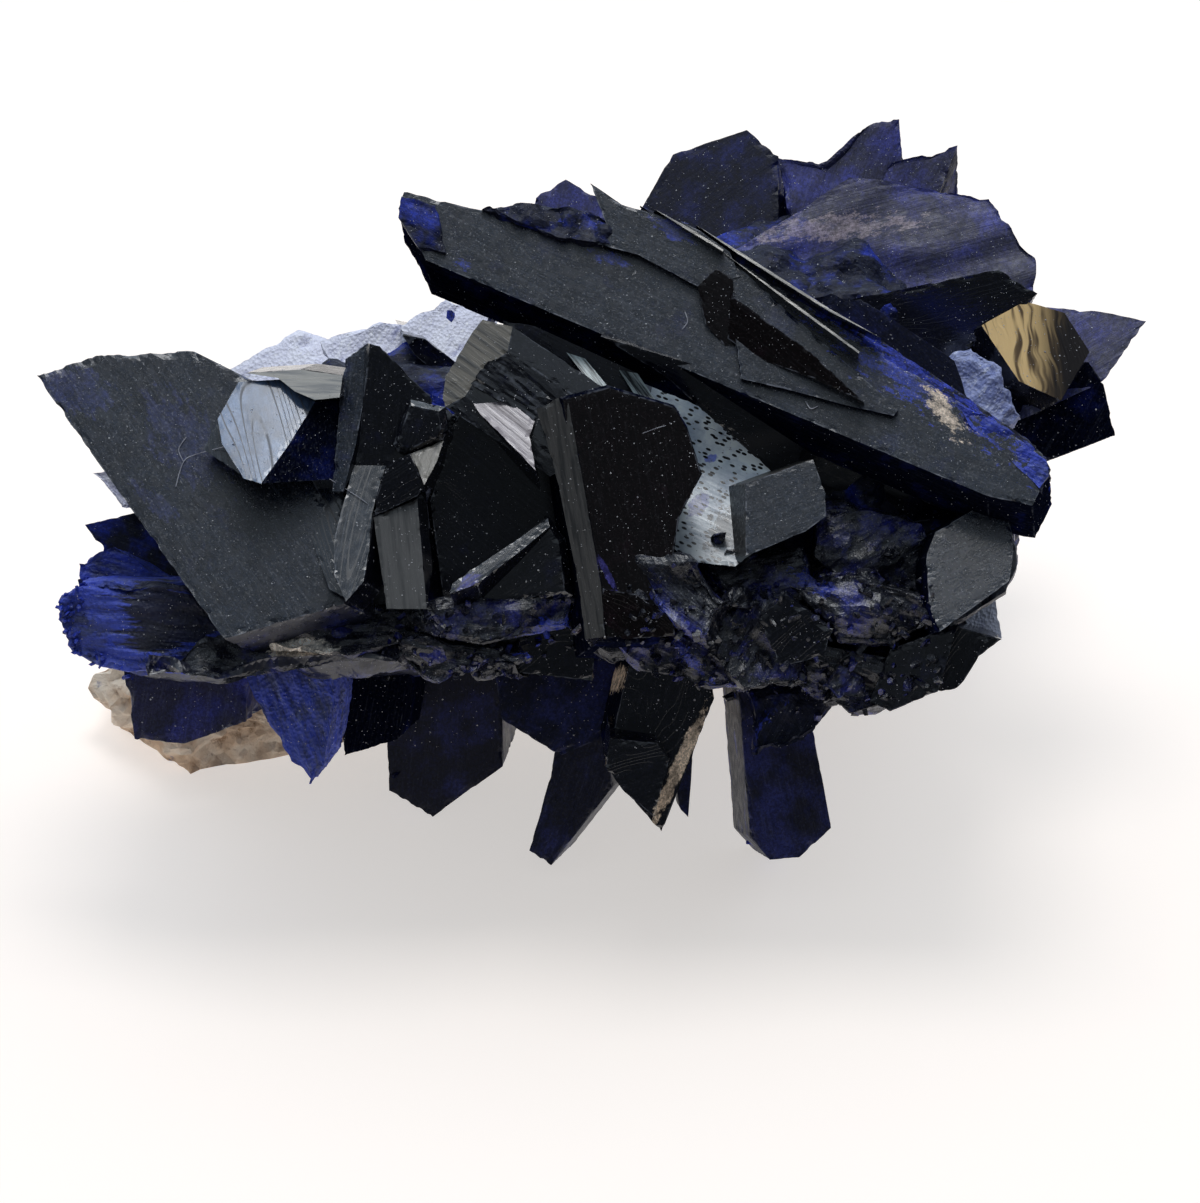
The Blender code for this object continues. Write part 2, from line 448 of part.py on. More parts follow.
def display_matrix():
    """The matrix that takes a point of the display view, in millimetres, to the part's frame, in metres."""
    across = Vector((1.0, 0.0, 0.0))
    up = Vector((0.0, math.sin(DISPLAY_TILT), math.cos(DISPLAY_TILT)))
    out = Vector((0.0, -math.cos(DISPLAY_TILT), math.sin(DISPLAY_TILT)))
    turn = Matrix((across, up, out)).transposed().to_4x4()
    return ground_matrix() @ Matrix.Translation(VIEW_ORIGIN) @ turn


def finish_material(name, colour, roughness):
    """A plain Principled material."""
    material = bpy.data.materials.new(name)
    material.use_nodes = True
    shader = material.node_tree.nodes["Principled BSDF"]
    shader.inputs["Base Color"].default_value = (*colour, 1.0)
    shader.inputs["Roughness"].default_value = roughness
    shader.inputs["Metallic"].default_value = 0.0
    return material


def link_mesh(name, shape, matrix, collection):
    """Makes an object of a bmesh given in millimetres and puts it in a collection."""
    bmesh.ops.recalc_face_normals(shape, faces=shape.faces)
    shape.transform(matrix)
    mesh = bpy.data.meshes.new(name)
    shape.to_mesh(mesh)
    shape.free()
    obj = bpy.data.objects.new(name, mesh)
    collection.objects.link(obj)
    return obj


def skin_loops(loops):
    """A closed bmesh through loops of equally many points, capped at both ends."""
    shape = bmesh.new()
    rings = [[shape.verts.new(point) for point in loop] for loop in loops]
    for ring, after in zip(rings, rings[1:]):
        for i in range(len(ring)):
            j = (i + 1) % len(ring)
            shape.faces.new((ring[i], ring[j], after[j], after[i]))
    shape.faces.new(rings[0])
    shape.faces.new(rings[-1])
    return shape


def middle(points):
    """The mean of some vectors."""
    return sum(points, Vector((0.0,) * len(points[0]))) / len(points)


def scaled(points, size):
    """Points scaled about their mean."""
    centre = middle(points)
    return [centre + (point - centre) * size for point in points]


def crystal_loops(crystal, grow=0.0):
    """The loops of a crystal in the display view, from front to back, made larger by grow on every side."""
    flat = [Vector(corner) for corner in crystal.outline]
    centre = middle(flat)
    reach = sum((corner - centre).length for corner in flat) / len(flat)
    flat = scaled(flat, 1.0 + EDGE_GROWTH * grow / reach)
    front = [
        Vector((*corner, crystal.out + (corner - centre).dot(Vector(crystal.lean)))) for corner in flat
    ]
    run = Vector(crystal.body)
    step = run.normalized()
    front = [point - step * grow for point in front]
    run = run + step * 2.0 * grow
    back = scaled([point + run for point in front], crystal.taper)
    if not crystal.chamfer:
        return [front, back]
    inner = scaled(front, 1.0 - crystal.chamfer / reach)
    return [inner, [point + step * crystal.chamfer for point in front], back]


def lump(centre, radii, chance, grow=0.0):
    """A rough faceted ellipsoid of intergrown azurite, as a bmesh in the display view."""
    shape = bmesh.new()
    bmesh.ops.create_icosphere(shape, subdivisions=2, radius=1.0)
    for vert in shape.verts:
        size = 1.0 + chance.uniform(-CORE_ROUGHNESS, CORE_ROUGHNESS)
        vert.co = Vector(centre) + Vector(
            [co * (radius * size + grow) for co, radius in zip(vert.co, radii)]
        )
    return shape


def spray_blade(across, up, out, rise, chance):
    """One blade of the spray over the back, six-sided in section."""
    across += chance.uniform(-SPRAY_SHIFT, SPRAY_SHIFT)
    up += chance.uniform(-SPRAY_SHIFT, SPRAY_SHIFT)
    long = chance.uniform(*SPRAY_LENGTH)
    wide = chance.uniform(*SPRAY_WIDTH)
    thick = chance.uniform(*SPRAY_THICKNESS)
    turn = Matrix.Rotation(chance.uniform(0.0, math.pi), 2)
    corners = [turn @ Vector((x * wide, y * thick)) for x, y in SPRAY_SECTION]
    outline = tuple((across + corner.x, up + corner.y) for corner in corners)
    sway = across * SPRAY_FLARE + chance.uniform(-SPRAY_SWAY, SPRAY_SWAY)
    toss = rise + chance.uniform(-SPRAY_TOSS, SPRAY_TOSS)
    run = Vector((sway, toss, -1.0)).normalized() * long
    lean = (chance.uniform(-SPRAY_SLANT, SPRAY_SLANT), chance.uniform(-SPRAY_SLANT, SPRAY_SLANT))
    return Crystal(outline, out, lean, tuple(run), 0.0, chance.uniform(*SPRAY_TAPER))


def spray():
    """The blades over the back of the cluster, which point away from the viewer."""
    chance = random.Random(SPRAY_SEED)
    blades = []
    for up, out, first, last, rise, count in SPRAY_ROWS:
        for i in range(count):
            across = first + (last - first) * i / (count - 1)
            blades.append(spray_blade(across, up, out, rise, chance))
    return blades


def rim_crystals():
    """The small stout crystals on the front rim."""
    chance = random.Random(RIM_SEED)
    found = []
    for i in range(RIM_COUNT):
        across, up, out = RIM_LINE[i % len(RIM_LINE)]
        across += chance.uniform(-RIM_SHIFT, RIM_SHIFT)
        up += chance.uniform(-RIM_SHIFT, RIM_SHIFT)
        size = chance.uniform(*RIM_SIZE)
        first = chance.uniform(0.0, math.tau)
        places = [k + chance.uniform(-RIM_UNEVEN, RIM_UNEVEN) for k in range(RIM_SIDES)]
        turns = [first + math.tau * place / RIM_SIDES for place in places]
        outline = tuple(
            (across + size * math.cos(turn), up + RIM_SQUAT * size * math.sin(turn)) for turn in turns
        )
        lean = (chance.uniform(-RIM_SLANT, RIM_SLANT), chance.uniform(-RIM_SLANT, RIM_SLANT))
        run = (chance.uniform(-RIM_SWAY, RIM_SWAY), chance.uniform(*RIM_TOSS), -RIM_DEPTH)
        found.append(Crystal(outline, out, lean, run))
    return found


def all_crystals():
    """Every crystal of the cluster with a name."""
    groups = {
        "blade": LONG_BLADE, "fan": LEFT_FAN, "under": UNDERSIDE, "mid": MIDDLE_GROUP,
        "rim": FRONT_RIM, "rear": REAR_FAN, "left": REAR_LEFT,
    }
    named = {
        f"{group}_{name}": crystal
        for group, members in groups.items()
        for name, crystal in members.items()
    }
    named.update({f"spray_{i:02d}": crystal for i, crystal in enumerate(spray())})
    named.update({f"small_{i:02d}": crystal for i, crystal in enumerate(rim_crystals())})
    return named


def helper_collection(name):
    """A collection of Boolean operands, left out of the render."""
    collection = bpy.data.collections.new(name)
    bpy.context.scene.collection.children.link(collection)
    collection.hide_render = True
    return collection


def fill_operands(collection, view, grow):
    """Fills a collection with the cores and crystals, made larger by grow."""
    chance = random.Random(CORE_SEED)
    for i, (centre, radii) in enumerate(CORES):
        link_mesh(f"{collection.name}_core_{i}", lump(centre, radii, chance, grow), view, collection)
    for name, crystal in all_crystals().items():
        link_mesh(f"{collection.name}_{name}", skin_loops(crystal_loops(crystal, grow)), view, collection)
    for obj in collection.objects:
        obj.hide_render = True
        obj.display_type = "WIRE"


def ground_block(collection):
    """The space under the ground, where nothing of the specimen reaches."""
    shape = bmesh.new()
    bmesh.ops.create_cube(shape, size=1.0)
    shape.transform(Matrix.Diagonal((GROUND_SIZE, GROUND_SIZE, GROUND_DEPTH, 1.0)))
    shape.transform(Matrix.Translation((0.0, 0.0, -GROUND_DEPTH / 2)))
    link_mesh("ground", shape, ground_matrix(), collection)


def boolean(obj, operation, collection):
    """Joins or cuts an object with a whole collection, and keeps the result as its mesh."""
    modifier = obj.modifiers.new(operation.title(), "BOOLEAN")
    modifier.operation = operation
    modifier.operand_type = "COLLECTION"
    modifier.collection = collection
    modifier.solver = "EXACT"
    solved = obj.evaluated_get(bpy.context.evaluated_depsgraph_get())
    mesh = bpy.data.meshes.new_from_object(solved)
    obj.modifiers.clear()
    obj.data = mesh
    for operand in list(collection.objects):
        bpy.data.objects.remove(operand)


def shells(shape):
    """The connected shells of a bmesh, each a set of its faces."""
    left = set(shape.faces)
    found = []
    while left:
        front = [left.pop()]
        shell = set(front)
        while front:
            for edge in front.pop().edges:
                new = [face for face in edge.link_faces if face in left]
                left.difference_update(new)
                shell.update(new)
                front.extend(new)
        found.append(shell)
    return found


def shell_volume(shell):
    """The signed volume inside a shell: a hollow inside the solid comes out negative."""
    volume = 0.0
    for face in shell:
        first = face.verts[0].co
        for here, after in zip(face.verts[1:], face.verts[2:]):
            volume += first.dot(here.co.cross(after.co)) / 6.0
    return volume


def keep_outside(obj):
    """Fills the hollows left between the crystals and drops loose crumbs: the largest shell stays."""
    shape = bmesh.new()
    shape.from_mesh(obj.data)
    bmesh.ops.triangulate(shape, faces=shape.faces)
    bmesh.ops.dissolve_degenerate(shape, edges=shape.edges, dist=SLIVER)
    found = sorted(shells(shape), key=shell_volume)
    for shell in found[:-1]:
        bmesh.ops.delete(shape, geom=list(shell), context="FACES")
    bmesh.ops.delete(shape, geom=[vert for vert in shape.verts if not vert.link_faces], context="VERTS")
    shape.to_mesh(obj.data)
    shape.free()


def make_cluster(view):
    """The azurite: its cores and crystals grown together into one solid."""
    growth = helper_collection("growth")
    fill_operands(growth, view, 0.0)
    cluster = growth.objects[0]
    growth.objects.unlink(cluster)
    bpy.context.scene.collection.objects.link(cluster)
    cluster.name = "azurite_cluster"
    cluster.hide_render = False
    cluster.display_type = "TEXTURED"
    boolean(cluster, "UNION", growth)
    ground = helper_collection("ground")
    ground_block(ground)
    boolean(cluster, "DIFFERENCE", ground)
    keep_outside(cluster)
    cluster.data.materials.append(finish_material("azurite", AZURITE_COLOUR, AZURITE_ROUGHNESS))
    return cluster


def make_clay(view):
    """The clay matrix under the back of the cluster, flat where it was broken off and rests."""
    chance = random.Random(CLAY_SEED)
    loops = []
    for height, size in CLAY_RINGS:
        ring = scaled([Vector((*point, height)) for point in CLAY_FOOTPRINT], size)
        if height:
            for point in ring:
                point += Vector([chance.uniform(-CLAY_ROUGHNESS, CLAY_ROUGHNESS) for _ in range(3)])
        loops.append(ring)
    clay = link_mesh("clay_matrix", skin_loops(loops), ground_matrix(), bpy.context.scene.collection)
    sockets = helper_collection("sockets")
    fill_operands(sockets, view, GAP)
    boolean(clay, "DIFFERENCE", sockets)
    keep_outside(clay)
    clay.data.materials.append(finish_material("clay", CLAY_COLOUR, CLAY_DULLNESS))
    return clay


def main():
    """Builds the specimen."""
    clear_scene()
    view = display_matrix()
    make_cluster(view)
    make_clay(view)


main()
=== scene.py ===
"""Azurite specimen: its crystals, druse, clay matrix, dust and fibres, and the small studio it stands in.

Lengths are in millimetres until the meshes are made. Most shapes are given in the specimen's display view,
looking down at it by DISPLAY_TILT degrees. A point there is (across, up, out): across to the right, up the
view, and out towards the viewer.
"""

from __future__ import annotations

import json
import logging
import math
import random
from dataclasses import dataclass, field
from enum import Enum
from typing import ClassVar

import bmesh
import bpy
import numpy as np
from mathutils import Matrix, Vector, noise
from mathutils.bvhtree import BVHTree

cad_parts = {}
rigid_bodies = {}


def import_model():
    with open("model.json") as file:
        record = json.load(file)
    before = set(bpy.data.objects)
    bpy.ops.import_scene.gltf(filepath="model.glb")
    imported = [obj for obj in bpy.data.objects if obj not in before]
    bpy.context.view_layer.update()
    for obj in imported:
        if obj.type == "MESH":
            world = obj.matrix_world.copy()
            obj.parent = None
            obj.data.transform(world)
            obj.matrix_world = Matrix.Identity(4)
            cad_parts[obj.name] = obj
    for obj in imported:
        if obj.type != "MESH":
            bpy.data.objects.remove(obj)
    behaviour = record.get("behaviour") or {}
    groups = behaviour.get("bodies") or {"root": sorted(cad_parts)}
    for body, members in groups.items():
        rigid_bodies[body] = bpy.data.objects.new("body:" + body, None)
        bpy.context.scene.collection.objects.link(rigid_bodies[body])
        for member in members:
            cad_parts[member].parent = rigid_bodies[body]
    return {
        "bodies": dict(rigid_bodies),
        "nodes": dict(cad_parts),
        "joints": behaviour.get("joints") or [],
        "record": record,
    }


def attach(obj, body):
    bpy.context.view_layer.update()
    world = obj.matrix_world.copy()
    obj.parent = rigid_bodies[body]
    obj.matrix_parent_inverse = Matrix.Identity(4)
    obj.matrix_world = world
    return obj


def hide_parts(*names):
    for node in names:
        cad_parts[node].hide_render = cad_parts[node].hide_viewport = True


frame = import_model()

LOG = logging.getLogger("specimen")
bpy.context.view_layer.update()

MM = 0.001
DISPLAY_TILT = math.radians(35.0)
VIEW_ORIGIN = (0.3, -9.6, 14.5)
FOOTPRINT_MIDDLE = (0.15, 3.26, 0.0)
MIDDLE_HEIGHT = 0.012

Point2 = tuple[float, float]
Point3 = tuple[float, float, float]
Colour = tuple[float, float, float]


class Look(Enum):
    """The finishes a crystal face can have."""

    SLATE = "slate"
    GLOSS = "gloss"
    BRIGHT = "bright"
    ETCHED = "etched"
    NAVY = "navy"
    PALE = "pale"
    BANDED = "banded"
    DRUSE = "druse"
    SPECKLED = "speckled"
    TAN = "tan"
    DUN = "dun"
    DUSK = "dusk"
    SHADE = "shade"
    SAIL = "sail"
    CRUST = "crust"
    FAN = "fan"
    ROSE_SHEEN = "rose"
    JET = "jet"
    GLINT_STRIPED = "striped"
    FROST = "frost"


LOOKS = list(Look)


def ground_matrix() -> Matrix:
    """The matrix from a point over the ground, in millimetres, to the part's frame, in metres."""
    return Matrix.Scale(MM, 4) @ Matrix.Translation(-Vector(FOOTPRINT_MIDDLE))


def display_matrix() -> Matrix:
    """The matrix that takes a point of the display view to the part's frame.

    Returns:
        A 4x4 matrix from millimetres in the display view to metres in the part's frame.
    """
    across = Vector((1.0, 0.0, 0.0))
    up = Vector((0.0, math.sin(DISPLAY_TILT), math.cos(DISPLAY_TILT)))
    out = Vector((0.0, -math.cos(DISPLAY_TILT), math.sin(DISPLAY_TILT)))
    turn = Matrix((across, up, out)).transposed().to_4x4()
    return ground_matrix() @ Matrix.Translation(VIEW_ORIGIN) @ turn


# ---------------------------------------------------------------- finishes


class Wiring:
    """The node tree of one material, while it is wired up."""

    def __init__(self, name: str) -> None:
        """Makes the material with its Principled shader.

        Args:
            name: the material's name.
        """
        self.material = bpy.data.materials.new(name)
        self.material.use_nodes = True
        self.tree = self.material.node_tree
        self.shader = self.tree.nodes["Principled BSDF"]

    def node(self, kind: str, inputs: dict | None = None, **settings: object) -> bpy.types.Node:
        """Adds a node.

        Args:
            kind: the node's type, without its ShaderNode prefix.
            inputs: values or sockets for its inputs, by name or number.
            settings: the node's own settings.

        Returns:
            The node.
        """
        node = self.tree.nodes.new("ShaderNode" + kind)
        for key, value in settings.items():
            setattr(node, key, value)
        for key, value in (inputs or {}).items():
            self.feed(node.inputs[key], value)
        return node

    def feed(self, socket: bpy.types.NodeSocket, value: object) -> None:
        """Links a socket to another, or sets its value.

        Args:
            socket: the input socket.
            value: an output socket, or the value to set.
        """
        if isinstance(value, bpy.types.NodeSocket):
            self.tree.links.new(value, socket)
        elif isinstance(value, tuple) and len(value) == 3 and socket.type == "RGBA":
            socket.default_value = (*value, 1.0)
        else:
            socket.default_value = value

    def attribute(self, name: str) -> bpy.types.Node:
        """The node that reads one of the mesh's attributes."""
        return self.node("Attribute", attribute_name=name)

    def math(self, operation: str, first: object, second: object = 0.0, third: object = 0.0) -> object:
        """The result of a Math node.

        Args:
            operation: the node's operation.
            first: a socket or a number.
            second: a socket or a number.
            third: a socket or a number.

        Returns:
            The result's socket.
        """
        node = self.node("Math", {0: first, 1: second, 2: third}, operation=operation)
        return node.outputs[0]

    def plus(self, first: object, second: object) -> object:
        """The sum of two values, each a socket or a number."""
        return self.math("ADD", first, second)

    def times(self, first: object, second: object) -> object:
        """The product of two values, each a socket or a number."""
        return self.math("MULTIPLY", first, second)

    def ramp(self, value: object, low: float, high: float, start: float = 0.0, end: float = 1.0) -> object:
        """A smooth step between two values.

        Args:
            value: the socket to read.
            low: where the step starts.
            high: where it ends.
            start: the result at low.
            end: the result at high.

        Returns:
            The result's socket.
        """
        node = self.node(
            "MapRange", {0: value, 1: low, 2: high, 3: start, 4: end}, interpolation_type="SMOOTHSTEP")
        return node.outputs[0]

    def mix(self, share: object, first: object, second: object) -> object:
        """A mix of two colours.

        Args:
            share: how much of the second, a socket or a number.
            first: a colour or its socket.
            second: a colour or its socket.

        Returns:
            The colour's socket.
        """
        node = self.node("Mix", {0: share, 6: first, 7: second}, data_type="RGBA")
        return node.outputs[2]

    def scaled(self, vector: object, scale: object) -> object:
        """A vector multiplied part by part.

        Args:
            vector: its socket.
            scale: the three factors, or the socket of one for all.

        Returns:
            The result's socket.
        """
        node = self.node("VectorMath", {0: vector, 1: scale}, operation="MULTIPLY")
        return node.outputs[0]

    def noise(self, vector: object, scale: float, detail: float = 3.0, rough: float = 0.55) -> object:
        """Fractal noise.

        Args:
            vector: the coordinates' socket.
            scale: how many features per millimetre.
            detail: how many octaves.
            rough: how strong the finer ones are.

        Returns:
            The value's socket, about 0 to 1.
        """
        node = self.node("TexNoise", {"Vector": vector, "Scale": scale, "Detail": detail, "Roughness": rough})
        return node.outputs[0]

    def cells(self, vector: object, scale: float, flat: bool = False) -> tuple[object, object]:
        """Scattered points.

        Args:
            vector: the coordinates' socket.
            scale: how many points per millimetre.
            flat: whether they all lie in the plane of the first two coordinates.

        Returns:
            The sockets of the distance to the nearest one, and of its random colour.
        """
        node = self.node(
            "TexVoronoi", {"Vector": vector, "Scale": scale}, voronoi_dimensions="2D" if flat else "3D")
        return node.outputs["Distance"], node.outputs["Color"]

    def bump(
        self, height: object, depth: float, strength: float = 1.0, below: object | None = None) -> object:
        """Fine relief.

        Args:
            height: the height's socket, 0 to 1.
            depth: how much relief that is, in millimetres.
            strength: how much of it counts.
            below: the normal's socket that this relief lies on.

        Returns:
            The normal's socket.
        """
        node = self.node("Bump", {"Height": height, "Distance": depth * MM, "Strength": strength})
        if below is not None:
            self.feed(node.inputs["Normal"], below)
        return node.outputs[0]


@dataclass(frozen=True)
class Blot:
    """A ragged patch of colour at one place on the specimen, in the display view.

    centre: its middle.
    radii: its half sizes, along its length, across it and in depth.
    angle: the direction of its length, in degrees from across.
    colour: its colour.
    share: how much it covers where it is thickest.
    ragged: how broken up it is.
    """

    DIM: ClassVar[Point2] = (0.5, 0.0)
    LIGHT: ClassVar[Point2] = (1.15, 0.018)
    TEAR: ClassVar[float] = 3.2

    centre: Point3
    radii: Point3
    angle: float
    colour: Colour
    share: float = 0.9
    ragged: float = 1.0

    def over(self, wiring: Wiring, view: object, tear: object, dimming: object, colour: object) -> object:
        """Wires the patch over a colour.

        Args:
            wiring: the material.
            view: the socket of the display view's coordinates.
            tear: the socket of the noise that tears it up.
            dimming: the socket of how dim that noise makes it.
            colour: the colour's socket.

        Returns:
            The new colour's socket.
        """
        own = wiring.node(
            "Mapping",
            {"Vector": view, "Location": self.centre, "Rotation": (0.0, 0.0, math.radians(self.angle)),
             "Scale": self.radii},
            vector_type="TEXTURE").outputs[0]
        gap = wiring.node("VectorMath", {0: own}, operation="LENGTH").outputs["Value"]
        reach = self.TEAR * self.ragged
        torn = wiring.math("MULTIPLY_ADD", tear, reach, gap)
        dim, light = (
            tuple(part * scale + rise for part in self.colour) for scale, rise in (self.DIM, self.LIGHT))
        own_colour = wiring.mix(dimming, light, dim)
        cover = wiring.ramp(torn, 0.75 + 0.5 * reach, 1.0 + 0.5 * reach, self.share, 0.0)
        return wiring.mix(cover, colour, own_colour)

    @classmethod
    def all_over(cls, wiring: Wiring, blots: tuple[Blot, ...], tear: object, colour: object) -> object:
        """Wires several patches over a colour.

        Args:
            wiring: the material.
            blots: the patches.
            tear: the socket of the noise that tears them up.
            colour: the colour's socket.

        Returns:
            The new colour's socket.
        """
        view = wiring.attribute("view").outputs["Vector"]
        dimming = wiring.ramp(tear, 0.36, 0.6)
        for blot in blots:
            colour = blot.over(wiring, view, tear, dimming, colour)
        return colour


COBALT = (0.014, 0.04, 0.46)
INDIGO = (0.012, 0.016, 0.10)
LILAC = (0.10, 0.09, 0.46)
CREAM = (0.78, 0.62, 0.47)
BUFF = (0.42, 0.33, 0.34)
# A near-black colour for painted shadow.
SHADOW = (0.005, 0.007, 0.018)

TABLET_BLOTS = (
    Blot((-21.2, 8.6, 0.0), (1.9, 1.1, 3.0), -20.0, INDIGO, 0.8, 0.6),
    Blot((-16.6, 6.4, 0.0), (2.6, 1.3, 3.0), -50.0, INDIGO, 0.6, 0.9),
    Blot((-17.8, 4.0, 0.0), (1.2, 0.4, 3.0), -40.0, INDIGO, 0.6, 0.8),
)
# Painted shadow: a near-black patch over the right part of the torn blue blade and the ledge beside it.
PAINTED_SHADOW_BLOTS = (
    Blot((-17.2, -0.6, 0.6), (2.6, 1.9, 3.0), -16.0, SHADOW, 0.93, 0.7),
)
LEDGE_BLOTS = (
    Blot((-11.3, -0.7, 0.4), (1.1, 0.35, 2.0), 22.0, COBALT, 0.5, 0.8),
    Blot((-12.0, -1.9, 0.8), (1.5, 0.5, 2.0), 2.0, (1.0, 0.90, 0.78), 0.97, 0.5),
)
FACET_BLOTS = (
    Blot((-13.05, 7.7, 1.5), (0.45, 0.32, 2.0), 10.0, (0.07, 0.055, 0.05), 0.6, 1.3),
)
RIM_BLOTS = (
    Blot((-2.1, -1.3, 0.8), (1.5, 0.6, 2.0), 25.0, COBALT, 0.85, 0.8),
    Blot((-0.6, -1.2, 1.4), (0.8, 0.4, 1.5), -40.0, BUFF, 0.7, 0.8),
    Blot((2.6, -0.4, 1.6), (0.9, 0.18, 2.0), -60.0, COBALT, 0.5, 1.2),
    Blot((3.6, -2.2, 1.0), (1.4, 0.22, 2.0), -50.0, COBALT, 0.6, 1.2),
    Blot((8.6, 0.8, 1.8), (1.2, 0.4, 2.0), -30.0, COBALT, 0.6, 1.0),
)
PRISM_BLOTS = (
    Blot((0.25, 1.2, 2.7), (0.9, 0.15, 1.0), -62.0, LILAC, 0.7, 0.5),
)
BAR_BLOTS = (
    Blot((-5.3, 0.7, 1.6), (0.7, 0.28, 1.0), 40.0, LILAC, 0.8, 0.5),
)
CHUNK_BLOTS = (
    Blot((6.5, -4.7, 0.6), (1.2, 0.7, 2.0), 30.0, COBALT, 0.6, 1.2),
)
CHEVRON_BLOTS = (
    Blot((3.2, -6.6, -2.0), (2.9, 0.3, 3.0), 66.0, CREAM, 0.9, 0.5),
    Blot((0.4, -3.2, -1.5), (0.8, 0.55, 6.0), 40.0, CREAM, 0.85, 0.6),
    Blot((4.9, -4.2, -0.5), (0.5, 0.25, 4.0), 20.0, CREAM, 0.8, 0.5),
)
BLADE_BLOTS = (
    Blot((-5.5, 13.5, 1.5), (0.5, 0.32, 2.0), -30.0, COBALT, 0.7, 0.8),
    Blot((0.3, 13.8, 1.0), (1.0, 0.3, 2.0), -20.0, COBALT, 0.7, 0.8),
    Blot((2.9, 14.9, 0.5), (1.0, 0.3, 2.0), -30.0, COBALT, 0.5, 0.9),
)
CREST_BLOTS = (
    Blot((12.9, 8.7, 1.0), (4.6, 0.8, 3.0), -36.0, COBALT, 0.75, 1.7),
    Blot((13.8, 7.5, 1.0), (1.5, 0.45, 3.0), -52.0, CREAM, 0.97, 1.1),
    Blot((16.9, 5.8, 0.0), (1.4, 0.9, 3.0), -40.0, COBALT, 0.9, 0.8),
)
SAIL_BLOTS = (
    Blot((9.6, 15.4, -11.5), (3.4, 0.5, 4.0), 4.0, BUFF, 0.45, 1.7),
)


